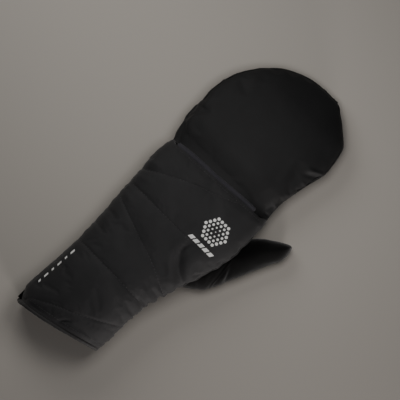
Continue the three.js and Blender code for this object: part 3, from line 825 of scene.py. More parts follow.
# Wind hood: a thin, smooth windproof shell that covers the fingers. Its back half comes out of the pocket
# on the back of the hand, its palm half ends in a lip under the palm, and one seam joins them round the tip.
HOOD_TUCK = 11 * MM
HOOD_RISE = 27 * MM
PIPING_WIDTH = 3.4 * MM
GAP = 0.35 * MM
HOOD_ROWS = 120
HOOD_COLUMNS = 88

# Folds of the hood, given as the panel's are.
HOOD_FOLDS = [
    ((-53.5, 58), (-50.5, 65), (-54, 77), 1.0, 3.6, 0),
    ((-56, 60), (-51, 58), (-46, 60), -0.6, 2.6, 0),
    ((-50, 51), (-56, 42), (-45, 35), 1.3, 4.4, -0.4),
    ((-45, 39), (-40, 37), (-32, 40.5), 0.3, 4.4, 0.3),
    ((53, 86), (60, 89), (67, 94), 1.0, 2.8, 0),
    ((53, 80), (60, 84), (67, 89), -0.9, 3.2, 0),
    ((67, 88), (61, 66), (56, 42), -0.5, 2.4, 0),
    ((68, 76), (63, 74), (58, 75), 0.7, 2.8, 0),
    ((66, 68), (62, 66), (57, 66), -0.5, 2.6, 0),
    ((64, 60), (60, 57), (56, 57), 0.6, 2.6, 0),
    ((62, 52), (58, 50), (54, 50), -0.5, 2.4, 0),
    ((61, 45), (57, 43), (53, 43), 0.6, 2.6, 0),
    ((62, 34), (57, 32), (52, 32), -1.0, 2.4, 0),
]


def tuck(y, angle):
    """How far under the padded back the hood lies in its pocket."""
    clear_of_piping = mouth_y(angle) + PIPING_WIDTH + 2 * GAP
    in_front = smooth(y, clear_of_piping, clear_of_piping + HOOD_RISE)
    return (PANEL_WALL + 3 * GAP) * (1 - in_front) * smooth(np.abs(np.sin(angle)), 0.08, 0.36)


def tongue(angle):
    """Only the middle of the hood's edge is drawn out into the pocket, and under the palm."""
    return smooth(np.abs(np.sin(angle)), 0.45, 0.85)


def hood_rows(rows, start):
    """Rows along the hood, closer together at its pocket and closest at the tip."""
    turn = np.linspace(0, math.pi, rows + 1)[:, None]
    return row_at(start + (TIP_Y - start) * (np.sin(turn / 2) + (1 - np.cos(turn)) / 2) / 2)


def hood_surface(rows, columns, inset=0.0, under=False):
    """The form of the hood's back half, or of the half under the fingers, and the angles of its points."""
    angle = panel_angles(columns) + (math.pi if under else 0)
    reach = HOOD_LIP if under else HOOD_TUCK
    start = (MOUTH_Y if under else mouth_y(angle)) + GAP - reach * tongue(angle)
    row = hood_rows(rows, start)
    y = between_rows(SECTIONS, row)[..., 0]
    depth = inset if under else inset + tuck(y, angle)
    return form(row, angle, depth, inset if under else 0.0), np.broadcast_to(angle, row.shape)


BILLOW_HEIGHT = 0.15 * MM
BILLOW_LENGTH = 70 * MM
RIPPLE_HEIGHT = 0.25 * MM
RIPPLE_LENGTH = 15 * MM


def billowed(flat, angle):
    """The hood's cloth with its folds, long billows and, at the sides, ripples that die away at the seam."""
    from_mouth = flat[..., 1] - MOUTH_Y
    calm = smooth(np.abs(np.sin(angle)), 0, 0.3) * smooth(from_mouth, 2 * MM, 14 * MM)
    height = folded(flat, HOOD_FOLDS, angle) * smooth(from_mouth, -1 * MM, 4 * MM)
    side = smooth(np.abs(np.cos(angle)), 0.45, 0.9)
    height += BILLOW_HEIGHT * unevenness(flat, BILLOW_LENGTH, 31) * calm
    height += RIPPLE_HEIGHT * unevenness(flat, RIPPLE_LENGTH, 32) * calm * side
    return flat + normals(flat) * height[..., None]


hood_cloth = cloth_material(
    "windproof hood cloth", (0.0074, 0.0074, 0.0078), (0.0112, 0.0112, 0.0117), roughness=0.62,
    thread=0.22 * MM, weave_depth=0.03 * MM, sheen=0.06, specular=0.24, crumple=0.14 * MM)

HOOD_GATHER = 0.35 * MM
GATHERED_LENGTH = 8 * MM
GATHERS_START = (5 * MM, 20 * MM)
SEAM_TURN = 0.8 * MM
TURN_STARTS = (60 * MM, 75 * MM)
HELD_FLAT = 8 * MM

hood_flat, hood_angle = hood_surface(HOOD_ROWS, HOOD_COLUMNS)
hood = billowed(hood_flat, hood_angle)
moved = np.zeros_like(hood)
rim = np.ones(hood.shape[:2])
rim[1:-1, 1:-1] = 0
rim[hood_flat[..., 1] < MOUTH_Y + HELD_FLAT] = 1
moved = settle("hood cloth", hood, rim, slack=0.002, pressure=1.0, cap=1.2 * MM,
               stiffness=10.0, bending=3.0)

hood_flat, hood_angle = hood_surface(2 * HOOD_ROWS, 2 * HOOD_COLUMNS)
hood = billowed(hood_flat, hood_angle) + refined(moved)
hood_sin = np.abs(np.sin(hood_angle))
gathered = HOOD_GATHER * unevenness(hood_flat * [1, 1, 0], GATHERED_LENGTH, 33)
gathered *= on_stretch(hood_sin, 0.02, 0.12, 0.12, 0.4)
gathered *= smooth(hood_flat[..., 1] - MOUTH_Y, *GATHERS_START)
turned_in = SEAM_TURN * np.exp(-((hood_sin / 0.07) ** 2)) * smooth(hood_flat[..., 1], *TURN_STARTS)


NOTCH = (38 * MM, 45 * MM, 57 * MM, 59.5 * MM)
NOTCH_DEPTH = 0.6 * MM
STAND_OUT = 1.3 * MM
HOOD_INSIDE = 0.6 * HOOD_WALL


def beside_notch(grid, angle):
    """A stretch of the outer seam where the palm half stands out past the back half."""
    return on_stretch(grid[..., 1], *NOTCH) * smooth(-np.cos(angle), 0.9, 1)


turned_in += NOTCH_DEPTH * beside_notch(hood_flat, hood_angle)
hood += normals(hood) * (gathered - turned_in)[..., None]
hood_inside = hood[::2, ::2] - normals(hood)[::2, ::2] * HOOD_INSIDE
hood_wear = 0.7 * (1 - smooth(hood_sin, 0.0, 0.12))
hood_back = wall("hood_back_shell", hood, hood_inside, [hood_cloth, hood_cloth], hood_wear)
finished(hood_back, "hood_shell", "hood_back")

UNDER_ROWS = 100
UNDER_COLUMNS = 48

under_flat, under_angle = hood_surface(2 * UNDER_ROWS, 2 * UNDER_COLUMNS, under=True)
under_slack = side_slack(under_flat, under_angle, flank=0.5, height=0.28 * MM, length=22 * MM, seed=41)
under_slack += STAND_OUT * beside_notch(under_flat, under_angle)
under = under_flat + normals(under_flat) * under_slack[..., None]
under[..., 2] = np.maximum(under[..., 2], 0)
under_inside, _ = hood_surface(UNDER_ROWS, UNDER_COLUMNS, HOOD_INSIDE, under=True)
hood_palm = wall("hood_palm_shell", under, under_inside, [hood_cloth, hood_cloth])
finished(hood_palm, "hood_shell", "hood_palm")

# Elastic piping: a ribbed elastic edge, paler than the cloth, that is sewn along the pocket's mouth. It
# keeps the pocket closed over the hood.
PIPING_THICKNESS = 2.4 * MM
ELASTIC_WIDTH = 4.4 * MM
OVER_EDGE = 0.7 * MM
PROUD = 0.6 * MM
RIB_PITCH = 1.25 * MM
RIB_DEPTH = 0.055
PIPING_STEPS = 560
PIPING_SWAY = 0.35 * MM
SWAY_LENGTH = 9 * MM
PROBE = 1 * MM
FLATNESS = 2.6


def sweep(name, centre, outwards, width, thickness, sides=16, ribs=None, closed=False):
    """A trim laid along a path, with an oval section whose flat side faces out of the glove."""
    if closed:
        tangent = np.roll(centre, -1, axis=0) - np.roll(centre, 1, axis=0)
    else:
        tangent = np.gradient(centre, axis=0)
    tangent /= np.linalg.norm(tangent, axis=1, keepdims=True)
    sideways = np.cross(tangent, outwards)
    sideways /= np.linalg.norm(sideways, axis=1, keepdims=True)
    outwards = np.cross(sideways, tangent)
    angle = np.linspace(0, 2 * math.pi, sides, endpoint=False)
    across = np.sign(np.cos(angle)) * np.abs(np.cos(angle)) ** (2 / FLATNESS)
    up = np.sign(np.sin(angle)) * np.abs(np.sin(angle)) ** (2 / FLATNESS)
    swell = np.ones((len(centre), sides)) if ribs is None else ribs(angle)
    grid = centre[:, None] + sideways[:, None] * (across * swell * width / 2)[..., None]
    grid += outwards[:, None] * (up * swell * thickness / 2)[..., None]
    grid[..., 2] = np.maximum(grid[..., 2], 0)
    return tube(name, grid, closed=closed)


elastic = cloth_material(
    "ribbed elastic", (0.0165, 0.016, 0.0205), (0.037, 0.035, 0.043), roughness=0.72,
    thread=0.3 * MM, weave_depth=0.06 * MM, sheen=0.15, specular=0.3, crumple=0.1 * MM)

turn = np.linspace(math.radians(42), math.radians(151), PIPING_STEPS)
piping_y = mouth_y(turn) + ELASTIC_WIDTH / 2 - OVER_EDGE
piping_row = row_at(piping_y)
piping_seat = form(piping_row, turn, tuck(piping_y, turn))
piping_out = form(piping_row, turn, -PROBE) - form(piping_row, turn)
piping_out /= np.linalg.norm(piping_out, axis=1, keepdims=True)
piping_line = piping_seat + piping_out * (2 * GAP + PROUD + PIPING_THICKNESS / 2)
piping_line[:, 1] += PIPING_SWAY * np.sin(path_length(piping_line) / SWAY_LENGTH)
rib_phase = path_length(piping_line) * 2 * math.pi / RIB_PITCH


def ribbed(angle):
    """The piping's thickness at each place: ribs, and ends that taper."""
    step = np.arange(PIPING_STEPS)
    ends = smooth(np.minimum(step, step[::-1]), 0, 12)
    ribs = (0.35 + 0.65 * ends) * (1 + RIB_DEPTH * np.sin(rib_phase))
    return np.broadcast_to(ribs[:, None], (PIPING_STEPS, len(angle)))


piping = sweep("hood_piping_elastic", piping_line, piping_out, ELASTIC_WIDTH, PIPING_THICKNESS, 18, ribbed)
piping.data.materials.append(elastic)
finished(piping, "elastic_binding", "hood_piping")

# Thumb and gusset: two pieces of suede in the palm's side. The gusset widens the base, and a raised seam
# joins it to the thumb.
THUMB_SEAM_FROM = thumb_point(0.28 * THUMB_LENGTH, 0.03 * THUMB_WIDTH, 0.0)
THUMB_SEAM_TO = thumb_point(0.0, 0.57 * THUMB_WIDTH, 0.0)
seam_run = (THUMB_SEAM_TO - THUMB_SEAM_FROM)[:2]
SEAM_ACROSS = np.array([-seam_run[1], seam_run[0]]) / np.linalg.norm(seam_run)
THUMB_AXIS = np.array([math.sin(THUMB_SPLAY), math.cos(THUMB_SPLAY)])
SEAM_RIDGE = 0.9 * MM
SEAM_RIDGE_BREADTH = 2.0 * MM
SEAM_GROOVE = 0.7 * MM
SEAM_GROOVE_BREADTH = 0.6 * MM
DENT_DEPTH = 0.22 * MM
DENT_LENGTH = 24 * MM
CREASE_DEPTH = 0.06 * MM
CREASE_LENGTH = 7 * MM
WELT_HEIGHT = 0.35 * MM
WELT_BREADTH = 0.07


def past_thumb_seam(points):
    """How far a point lies on the fingertip side of the thumb's base seam."""
    from_seam = points[..., :2] - THUMB_SEAM_FROM[:2]
    return np.maximum(from_seam @ SEAM_ACROSS, from_seam @ THUMB_AXIS)


# Folds of the thumb's top, given as the panel's are.
THUMB_FOLDS = [
    ((64.5, -22), (68.5, -27), (70.5, -35), 1.2, 2.4, 0),
    ((62.5, -24), (66.5, -31), (68, -39), -0.9, 2.6, 0),
    ((58, -14), (64, -13), (71, -17), -0.5, 3.5, 0),
    ((61, -6), (66, -7), (72, -10), 0.4, 4, 0),
    ((80, -8), (76, -4), (72, -3), -0.4, 3.5, 0),
    ((55, -40), (57, -46), (60, -52), -0.8, 3, 0),
    ((50, -52), (53, -55), (56, -58), 0.6, 3, 0),
]


def welt(angle, place):
    """A side seam's ridge along the thumb, at one angle round it. Its breadth is an angle as well."""
    return np.exp(-((np.angle(np.exp(1j * (angle - place))) / WELT_BREADTH) ** 2))


def thumb_outside(rows, sides):
    """The thumb's outside with its folds, its base seam and a welt along each side."""
    grid = thumb_form(rows, sides)
    closed = np.concatenate([grid[:, -1:], grid, grid[:, :1]], axis=1)
    out = -normals(closed)[:, 1:-1]
    angle = np.broadcast_to(np.linspace(0, 2 * math.pi, sides, endpoint=False)[None, :], grid.shape[:2])
    seam = past_thumb_seam(grid)
    upper = smooth(np.sin(angle), -0.35, 0.1)
    height = folded(grid, THUMB_FOLDS, np.full(grid.shape[:2], math.pi / 2)) * upper
    height += SEAM_RIDGE * np.exp(-((seam / SEAM_RIDGE_BREADTH) ** 2))
    height -= SEAM_GROOVE * np.exp(-((seam / SEAM_GROOVE_BREADTH) ** 2))
    ends = on_stretch(np.linspace(0, 1, rows + 1)[:, None], 0, 0.05, 0.9, 1)
    height += DENT_DEPTH * unevenness(grid, DENT_LENGTH, 51)
    height += CREASE_DEPTH * unevenness(grid, CREASE_LENGTH, 52)
    height += WELT_HEIGHT * (welt(angle, 0.12) + welt(angle, math.pi + 0.1))
    grid = grid + out * (height * ends)[..., None]
    grid[..., 2] = np.maximum(grid[..., 2], 0)
    return grid


def gauntlet_outside(clearance, rows=140, sides=120):
    """The outside of the gauntlet as one body, to shape what is sewn to it."""
    angle, row = np.meshgrid(
        np.linspace(0, 2 * math.pi, sides, endpoint=False), np.linspace(0, MOUTH_ROW + 2, rows + 1))
    flat = form(row, angle)
    seams, edges = quilt_distances(flat, row, angle)
    puffed = np.where((angle < math.pi) & (row < MOUTH_ROW), filling(seams, edges), 0)
    return form(row, angle, -puffed - clearance, -clearance)


BLOCK_SIZE = 250 * MM
THUMB_CLEARANCE = 0.15 * MM


def beyond(side):
    """Two blocks that fill one side of the base seam: across the seam, and along the thumb."""
    blocks = []
    for x, y in (side * SEAM_ACROSS, side * THUMB_AXIS):
        corners = [(-y * a, x * a, b) for a, b in ((-1, -1), (1, -1), (1, 1), (-1, 1))]
        face = np.array([*THUMB_SEAM_FROM[:2], 0.0]) + np.array(corners) * BLOCK_SIZE
        blocks.append(tube("block", np.stack([face, face + np.array([x, y, 0.0]) * BLOCK_SIZE])))
    return blocks


def thumb_shell(name):
    """The thumb and the gusset as one hollow body, cut clear of the hand."""
    shell = tube(name, thumb_outside(150, 120))
    for inside in (thumb_form(80, 60, THUMB_WALL), gauntlet_outside(THUMB_CLEARANCE)):
        cutter = tube("cutter", inside)
        cut(shell, cutter)
        bpy.data.objects.remove(cutter)
    return shell


def largest_part(piece):
    """Keeps the largest connected part of a mesh."""
    data = piece.data
    group = np.arange(len(data.vertices))
    edges = np.zeros(len(data.edges) * 2, np.int32)
    data.edges.foreach_get("vertices", edges)
    edges = edges.reshape(-1, 2)
    while True:
        low = np.minimum(group[edges[:, 0]], group[edges[:, 1]])
        before = group.copy()
        np.minimum.at(group, edges[:, 0], low)
        np.minimum.at(group, edges[:, 1], low)
        group = group[group]
        if (group == before).all():
            break
    names, counts = np.unique(group, return_counts=True)
    keep = set(np.nonzero(group == names[counts.argmax()])[0].tolist())
    if len(keep) < len(data.vertices):
        mesh = bmesh.new()
        mesh.from_mesh(data)
        bmesh.ops.delete(mesh, geom=[v for v in mesh.verts if v.index not in keep], context="VERTS")
        mesh.to_mesh(data)
        mesh.free()


thumb = thumb_shell("thumb_suede")
gusset = in_scene("thumb_gusset_suede", thumb.data.copy())
tip_side, hand_side = beyond(1), beyond(-1)
for block in tip_side:
    cut(gusset, block)
cut(thumb, cut(hand_side[0], hand_side[1], "INTERSECT"))
for block in (*tip_side, *hand_side):
    bpy.data.objects.remove(block)
for piece, name in ((thumb, "thumb"), (gusset, "thumb_gusset")):
    largest_part(piece)
    piece.data.materials.clear()
    piece.data.materials.append(suede)
    piece.data.polygons.foreach_set("use_smooth", [True] * len(piece.data.polygons))
    piece.data.set_sharp_from_angle(angle=math.radians(50))
    finished(piece, "suede", name)

# Corded edge: a thin cord in the seam along the thumb side of the back panel, covered with woven binding.
# The binding is gathered as it is sewn, so it runs in small folds round the cord.
EDGE_CORD = 2.2 * MM
EDGE_CORD_STEPS = 260
COVER_PITCH = 2.1 * MM
CORD_RAISED = 0.4 * MM
CORD_SWAY = 0.25 * MM
CORD_TAPER = 5 * MM

binding = cloth_material(
    "woven binding", (0.014, 0.0135, 0.0135), (0.034, 0.033, 0.033), roughness=0.68,
    thread=0.32 * MM, weave_depth=0.06 * MM, sheen=0.15, specular=0.35, crumple=0.15 * MM)

cord_y = np.linspace(on_hand(0.12), on_hand(0.84), EDGE_CORD_STEPS)
cord_line = form(row_at(cord_y), np.zeros(EDGE_CORD_STEPS), -EDGE_CORD / 2)
cord_line[:, 0] += rim_wave(cord_line[:, 1])
cord_line[:, 2] += CORD_SWAY * np.sin(path_length(cord_line) / (6 * MM)) + CORD_RAISED


def gathered_cover(angle):
    """The cord's thickness at each place: small folds, and ends that taper."""
    run = path_length(cord_line)[:, None]
    ends = on_stretch(run, 0, CORD_TAPER, run.max() - CORD_TAPER, run.max())
    return (0.3 + 0.7 * ends) * (1 + 0.05 * np.sin(run * 2 * math.pi / COVER_PITCH + 2 * angle))


edge_cord = sweep("thumb_edge_cord_bound", cord_line, np.broadcast_to([0.0, 0.0, 1.0], cord_line.shape),
                  EDGE_CORD, EDGE_CORD, 12, gathered_cover)
edge_cord.data.materials.append(binding)
finished(edge_cord, "edge_binding", "thumb_edge_cord")

# Cuff hem: the edge of the cuff, covered with the same woven binding, rolled over and sewn down all round
# the opening. It follows the panel in and out, and swells a little between its stitches.
HEM_WIDTH = 3.4 * MM
HEM_THICKNESS = 3.2 * MM
HEM_DRAWN_IN = 2.8 * MM
HEM_STEPS = 520
HEM_TWIST_PITCH = 5.2 * MM
HEM_SWELLS = 13

hem_angle = np.linspace(0, 2 * math.pi, HEM_STEPS, endpoint=False)
hem_row = np.zeros(HEM_STEPS)
hem_middle = HEM_THICKNESS / 2
hem_line = form(hem_row, hem_angle, hem_middle, hem_middle) - [0, GAP * 0.4 + HEM_WIDTH / 2, 0]
hem_line[:, 1] += hem_wave(hem_angle)
above_palm = smooth(np.sin(hem_angle), -0.25, 0)
hem_line[:, 0] += HEM_DRAWN_IN * outer_side(hem_angle) * above_palm
hem_out = form(hem_row, hem_angle, -PROBE, -1.0) - form(hem_row, hem_angle, 0.0, -1.0)
hem_out /= np.linalg.norm(hem_out, axis=1, keepdims=True)


def rolled(angle):
    """The hem's thickness at each place: twisted small folds and slow swells."""
    run = path_length(hem_line)[:, None]
    round_hem = run / run.max() * 2 * math.pi
    twist = np.sin(round_hem * round(float(run.max()) / HEM_TWIST_PITCH) + 1.4 * np.cos(angle))
    return 1 + 0.04 * twist + 0.05 * np.sin(round_hem * HEM_SWELLS + 2)


cuff_hem = sweep("cuff_hem_rolled", hem_line, hem_out, HEM_WIDTH, HEM_THICKNESS, 16, rolled, closed=True)
cuff_hem.data.materials.append(binding)
finished(cuff_hem, "edge_binding", "cuff_hem")

# Stitching: black thread, pulled into the cloth along the quilting, beside the piping, along both side seams
# and the hem, and round the hood.
thread = cloth_material(
    "sewing thread", (0.012, 0.012, 0.013), (0.04, 0.04, 0.042), roughness=0.42,
    thread=0.15 * MM, weave_depth=0.03 * MM, sheen=0.05, specular=0.5, crumple=0.02 * MM, lies_flat=False)


def stitch_tree():
    """Geometry nodes that lay stitches of one length and pitch along paths, turned to the cloth."""
    tree = bpy.data.node_groups.new("stitches along seams", "GeometryNodeTree")
    tree.interface.new_socket("Paths", in_out="INPUT", socket_type="NodeSocketGeometry")
    for name in ("Pitch", "Stitch length", "Thread width"):
        tree.interface.new_socket(name, in_out="INPUT", socket_type="NodeSocketFloat")
    tree.interface.new_socket("Thread", in_out="INPUT", socket_type="NodeSocketMaterial")
    tree.interface.new_socket("Stitches", in_out="OUTPUT", socket_type="NodeSocketGeometry")
    given = tree.nodes.new("NodeGroupInput").outputs
    curve = node(tree, "GeometryNodeMeshToCurve", {"Mesh": given["Paths"]})
    spaced = node(tree, "GeometryNodeResampleCurve", {"Curve": curve.outputs["Curve"],
                                                      "Length": given["Pitch"]}, mode="LENGTH")
    bead = node(tree, "GeometryNodeMeshUVSphere", {"Segments": 8, "Rings": 5, "Radius": 0.5})
    size = node(tree, "ShaderNodeCombineXYZ", {"X": given["Stitch length"], "Y": given["Thread width"],
                                               "Z": given["Thread width"]})
    out = node(tree, "GeometryNodeInputNamedAttribute", {"Name": "out"}, data_type="FLOAT_VECTOR")
    tangent = node(tree, "GeometryNodeInputTangent")
    turned = node(tree, "FunctionNodeAxesToRotation", {"Primary Axis": out.outputs["Attribute"],
                                                       "Secondary Axis": tangent.outputs["Tangent"]},
                  primary_axis="Z", secondary_axis="X")
    placed = node(tree, "GeometryNodeInstanceOnPoints", {
        "Points": spaced.outputs["Curve"], "Instance": bead.outputs["Mesh"],
        "Rotation": turned.outputs["Rotation"], "Scale": size.outputs["Vector"]})
    real = node(tree, "GeometryNodeRealizeInstances", {"Geometry": placed.outputs["Instances"]})
    painted = node(tree, "GeometryNodeSetMaterial", {"Geometry": real.outputs["Geometry"],
                                                     "Material": given["Thread"]})
    tree.links.new(painted.outputs["Geometry"], tree.nodes.new("NodeGroupOutput").inputs["Stitches"])
    return tree


STITCHES = stitch_tree()


def sew(name, paths, pitch, length, width):
    """Stitches along paths, each given as its points and the directions out of the cloth there."""
    points, out, edges = [], [], []
    for path, outwards in paths:
        start = len(points)
        points += path.tolist()
        out += outwards.tolist()
        edges += [(start + k, start + k + 1) for k in range(len(path) - 1)]
    data = bpy.data.meshes.new(name)
    data.from_pydata(points, edges, [])
    directions = data.attributes.new("out", "FLOAT_VECTOR", "POINT")
    directions.data.foreach_set("vector", np.ravel(out).astype(np.float32))
    path_piece = in_scene(name + " paths", data)
    modifier = path_piece.modifiers.new("stitches", "NODES")
    modifier.node_group = STITCHES
    given = {"Pitch": pitch, "Stitch length": length, "Thread width": width, "Thread": thread}
    for item in STITCHES.interface.items_tree:
        if item.in_out == "INPUT" and item.name in given:
            modifier[item.identifier] = given[item.name]
    made = plain_mesh(path_piece)
    bpy.data.objects.remove(path_piece)
    made.name = name
    made.polygons.foreach_set("use_smooth", [True] * len(made.polygons))
    finished(in_scene(name, made), "thread")


def sample(grid, row, column):
    """Points of a grid at places between its rows and columns."""
    i = np.clip(np.floor(row).astype(int), 0, grid.shape[0] - 2)
    j = np.clip(np.floor(column).astype(int), 0, grid.shape[1] - 2)
    s, t = (row - i)[:, None], (column - j)[:, None]
    low = grid[i, j] * (1 - t) + grid[i, j + 1] * t
    high = grid[i + 1, j] * (1 - t) + grid[i + 1, j + 1] * t
    return low * (1 - s) + high * s


panel_out = normals(panel)
STITCH_LIFT = 0.05 * MM


def seam_on_panel(y_at, first, last, steps=160):
    """A seam over the panel: from one angle to another, at the y that a function of the angle gives."""
    angle = np.linspace(first, last, steps)
    column = angle / math.pi * (panel.shape[1] - 1)
    wanted = y_at(angle)
    rows = np.arange(len(panel))
    row = np.array([
        np.interp(y, sample(panel_flat, rows, np.full(len(panel), c))[:, 1], rows)
        for y, c in zip(wanted, column)
    ])
    inside = (row > 3) & (row < len(panel) - 2.5)
    out = sample(panel_out, row, column)[inside]
    return sample(panel, row, column)[inside] + out * STITCH_LIFT, out


def quilt_y(outer, thumb_side):
    """A quilting seam's y at each angle."""
    return lambda angle: thumb_side + (outer - thumb_side) * (1 - np.cos(angle)) / 2


SEAM_END = 0.04
TOPSTITCH_INSET = 2.5 * MM


def topstitch_y(angle):
    """The y of the line of stitches that runs beside the pocket's mouth."""
    return mouth_y(angle) + MOUTH_SLANT * np.cos(angle) - TOPSTITCH_INSET


def beside_edge(grid, out, places, lift=STITCH_LIFT):
    """Paths of stitches along rows or columns of a grid, lifted just clear of the cloth."""
    return [(grid[place] + out[place] * lift, out[place]) for place in places]


quilting = [
    seam_on_panel(quilt_y(outer, thumb_side), math.acos(2 * reach - 1) + SEAM_END, math.pi - SEAM_END)
    for outer, thumb_side, reach, _ in QUILT_SEAMS
]
sew("quilting_stitches", quilting, pitch=3.0 * MM, length=1.4 * MM, width=0.7 * MM)

topstitch = seam_on_panel(topstitch_y, math.radians(26), math.radians(154))
sew("pocket_topstitches", [topstitch], pitch=2.6 * MM, length=1.5 * MM, width=0.55 * MM)

side_seams = beside_edge(panel, panel_out, (np.s_[4:-4, 5], np.s_[4:-4, -6]))
sew("side_seam_stitches", side_seams, pitch=2.9 * MM, length=2.1 * MM, width=0.5 * MM)

hem_seam = beside_edge(panel, panel_out, (np.s_[6, 3:-3],))
sew("hem_stitches", hem_seam, pitch=2.7 * MM, length=2.0 * MM, width=0.55 * MM)

hood_out = normals(hood)
hood_seam = beside_edge(hood, hood_out, (np.s_[60:-12, 5], np.s_[60:-12, -6]), lift=0.04 * MM)
sew("hood_seam_stitches", hood_seam, pitch=2.6 * MM, length=1.9 * MM, width=0.42 * MM)


def round_hood(grid):
    """The hood's edge just inside its seam: up one side, round the tip and down the other."""
    return np.concatenate([grid[70:-8, 11], grid[-8, 12:-12], grid[70:-8, -12][::-1]])


# Painted shade: a black cord just inside the hood's seam stands for the dark groove between the hood's edge
# and the palm's rim. It is a narrow raised line, so the path is averaged to run evenly.
SHADE_CORD = 0.9 * MM
AVERAGED = 15
edge_path = np.pad(round_hood(hood), ((AVERAGED // 2, AVERAGED // 2), (0, 0)), "edge")
evened = [np.convolve(edge_path[:, k], np.ones(AVERAGED) / AVERAGED, "valid") for k in range(3)]
seam_shade_cord = sweep("hood_seam_shade_cord", np.stack(evened, axis=1), round_hood(hood_out), SHADE_CORD, SHADE_CORD, 8)
seam_shade_cord.data.materials.append(suede)
finished(seam_shade_cord, "thread")

# Reflective print: plain dots and bars of reflective ink on the back panel, near the thumb and along the
# outer edge of the cuff. It lies on the cloth and follows it.
print_ink = bpy.data.materials.new("reflective print")
print_ink.use_nodes = True
ink_tree = print_ink.node_tree
ink = ink_tree.nodes["Principled BSDF"]
ink_place = node(ink_tree, "ShaderNodeTexCoord").outputs["Object"]
ink_grain = noise(ink_tree, ink_place, 2600.0, 2.0)
ink_cracks = node(ink_tree, "ShaderNodeTexVoronoi", {"Vector": ink_place, "Scale": 900.0},
                  feature="DISTANCE_TO_EDGE").outputs["Distance"]
ink_tree.links.new(ramp(ink_tree, ink_grain, [(0.2, (0.62, 0.62, 0.6)), (0.75, (0.9, 0.9, 0.88))]),
                   ink.inputs["Base Color"])
ink.inputs["Roughness"].default_value = 0.38
ink.inputs["Specular IOR Level"].default_value = 0.6
ink_relief = bump(ink_tree, ink_grain, distance=0.03 * MM, strength=0.6)
ink_relief = bump(ink_tree, ink_cracks, distance=0.02 * MM, strength=0.4, below=ink_relief)
ink_tree.links.new(ink_relief, ink.inputs["Normal"])

panel_tree = BVHTree.FromPolygons(panel.reshape(-1, 3).tolist(), cells(numbered(panel), turned=True))
INK = 0.09 * MM


def patches(name, outlines):
    """Thin closed patches of ink that follow the panel. Each is given as rings seen from above, its outline
    first, and gets a skirt that goes down into the cloth."""
    points, faces = [], []
    for rings in outlines:
        start = len(points)
        count = len(rings[0])
        for x, y in (place for ring in rings for place in ring):
            hit, out, _, _ = panel_tree.ray_cast(Vector((x, y, 0.2)), Vector((0, 0, -1)))
            out = out if out.z > 0 else -out
            points.append(hit + out * INK)
        points += [point - Vector((0, 0, 2 * INK)) for point in points[start:start + count]]
        rows = np.arange(start, len(points)).reshape(-1, count)
        from_skirt = np.roll(rows, 1, axis=0)
        faces += cells(np.concatenate([from_skirt, from_skirt[:, :1]], axis=1), turned=True)
        faces += [from_skirt[-1].tolist(), from_skirt[0, ::-1].tolist()]
    data = bpy.data.meshes.new(name)
    data.from_pydata(points, [], faces)
    data.materials.append(print_ink)
    finished(in_scene(name, data), "reflective_print")


def dot(x, y, radius, sides=14):
    """A round dot as two rings, seen from above."""
    turn = np.linspace(0, 2 * math.pi, sides, endpoint=False)
    ring = np.stack([np.cos(turn), np.sin(turn)], axis=1)
    return [(np.array([x, y]) * MM + ring * radius * MM * share).tolist() for share in (1, 0.5)]


def bar(x, y, length, breadth, heading, steps=6):
    """A bar with slanted ends as two rings, seen from above."""
    c, s = math.cos(math.radians(heading)), math.sin(math.radians(heading))
    ends = np.linspace(-length / 2, length / 2, steps)
    upper = [(e + breadth * 0.3, breadth / 2) for e in ends]
    lower = [(e - breadth * 0.3, -breadth / 2) for e in ends[::-1]]
    outline = np.array(lower[::-1] + upper[::-1])
    rings = [outline, outline * [0.8, 0.3]]
    return [[((x + a * c - b * s) * MM, (y + a * s + b * c) * MM) for a, b in ring] for ring in rings]


# The print's places and sizes are in millimetres, seen from above.
DOT_CENTRE = (34.5, -11)
DOT_PITCH = 3.9
DOT_RADII = (0.55, 0.85, 1.15, 1.45)
BAR_START = (22.5, -28.3)
BAR_PITCH = 5.6
DASH_START = (-41.6, -111)
DASH_STEP = (-0.5, -7.6)
DASH_LENGTHS = (4.6, 2.6, 4.6, 2.6, 4.6, 2.6)

cluster = []
for q in range(-3, 4):
    for r in range(-3, 4):
        ring = max(abs(q), abs(r), abs(q + r))
        if ring <= 3:
            x = DOT_CENTRE[0] + DOT_PITCH * (q + r / 2)
            y = DOT_CENTRE[1] + DOT_PITCH * r * math.sqrt(3) / 2
            cluster.append(dot(x, y, DOT_RADII[ring]))
patches("reflective_dots", cluster)
bars = [
    bar(BAR_START[0] + BAR_PITCH * k, BAR_START[1], length=4.2, breadth=3.6, heading=0) for k in range(5)
]
patches("reflective_bars", bars)
dashes = [
    bar(DASH_START[0] + DASH_STEP[0] * k, DASH_START[1] + DASH_STEP[1] * k, length, breadth=1.5, heading=86)
    for k, length in enumerate(DASH_LENGTHS)
]
patches("reflective_cuff_dashes", dashes)

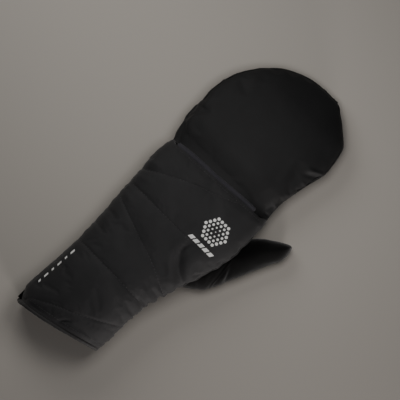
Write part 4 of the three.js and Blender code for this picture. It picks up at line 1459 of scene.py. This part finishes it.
# Floor, light and camera: a plain pale floor, a soft key light from the outer side and above, a low light
# from the thumb side that grazes the folds, and a weak one overhead. The camera looks straight down.
FLOOR_HALF = 4.0
floor_data = bpy.data.meshes.new("studio_floor")
floor_corners = [(x * FLOOR_HALF, y * FLOOR_HALF, 0) for x, y in ((-1, -1), (1, -1), (1, 1), (-1, 1))]
floor_data.from_pydata(floor_corners, [], [(0, 1, 2, 3)])
floor = in_scene("studio_floor", floor_data)
floor_paint = bpy.data.materials.new("pale floor")
floor_paint.use_nodes = True
floor_shader = floor_paint.node_tree.nodes["Principled BSDF"]
floor_shader.inputs["Base Color"].default_value = (0.47, 0.44, 0.4, 1)
floor_shader.inputs["Roughness"].default_value = 0.95
floor_shader.inputs["Specular IOR Level"].default_value = 0.1
floor_data.materials.append(floor_paint)


def softbox(name, direction, distance, size, power, colour):
    """A square soft light that looks at the glove from a direction."""
    data = bpy.data.lights.new(name, "AREA")
    data.shape = "SQUARE"
    data.size = size
    data.energy = power
    data.color = colour
    light = in_scene(name, data)
    light.visible_camera = False
    light.location = Vector(direction).normalized() * distance
    light.rotation_euler = (-Vector(direction)).to_track_quat("-Z", "Y").to_euler()


softbox("key light", (-0.88, 0.36, 0.8), distance=0.5, size=0.3, power=0.75, colour=(1.0, 0.985, 0.96))
softbox("side light", (0.85, -0.48, 0.09), distance=0.8, size=0.22, power=4.8, colour=(1.0, 0.95, 0.93))
softbox("top light", (0.05, 0.19, 1.0), distance=0.38, size=0.18, power=0.49, colour=(1.0, 0.98, 0.96))
world = bpy.data.worlds.new("studio")
world.use_nodes = True
sky = world.node_tree.nodes["Background"]
sky.inputs["Color"].default_value = (0.9, 0.93, 1.0, 1)
sky.inputs["Strength"].default_value = 0.06
bpy.context.scene.world = world

VIEW_WIDTH = 352 * MM
VIEW_AZIMUTH = math.radians(45)
VIEW_ELEVATION = math.radians(87)
VIEW_CENTRE = Vector((4.3 * MM, 0, 24 * MM))
camera_data = bpy.data.cameras.new("camera")
camera_data.lens = 200
camera_data.sensor_width = 36
camera = in_scene("camera", camera_data)
back = Vector((
    math.sin(VIEW_AZIMUTH) * math.cos(VIEW_ELEVATION),
    -math.cos(VIEW_AZIMUTH) * math.cos(VIEW_ELEVATION),
    math.sin(VIEW_ELEVATION)))
camera.location = VIEW_CENTRE + back * VIEW_WIDTH * camera_data.lens / camera_data.sensor_width
camera.rotation_euler = (math.pi / 2 - VIEW_ELEVATION, 0, VIEW_AZIMUTH)
bpy.context.scene.camera = camera
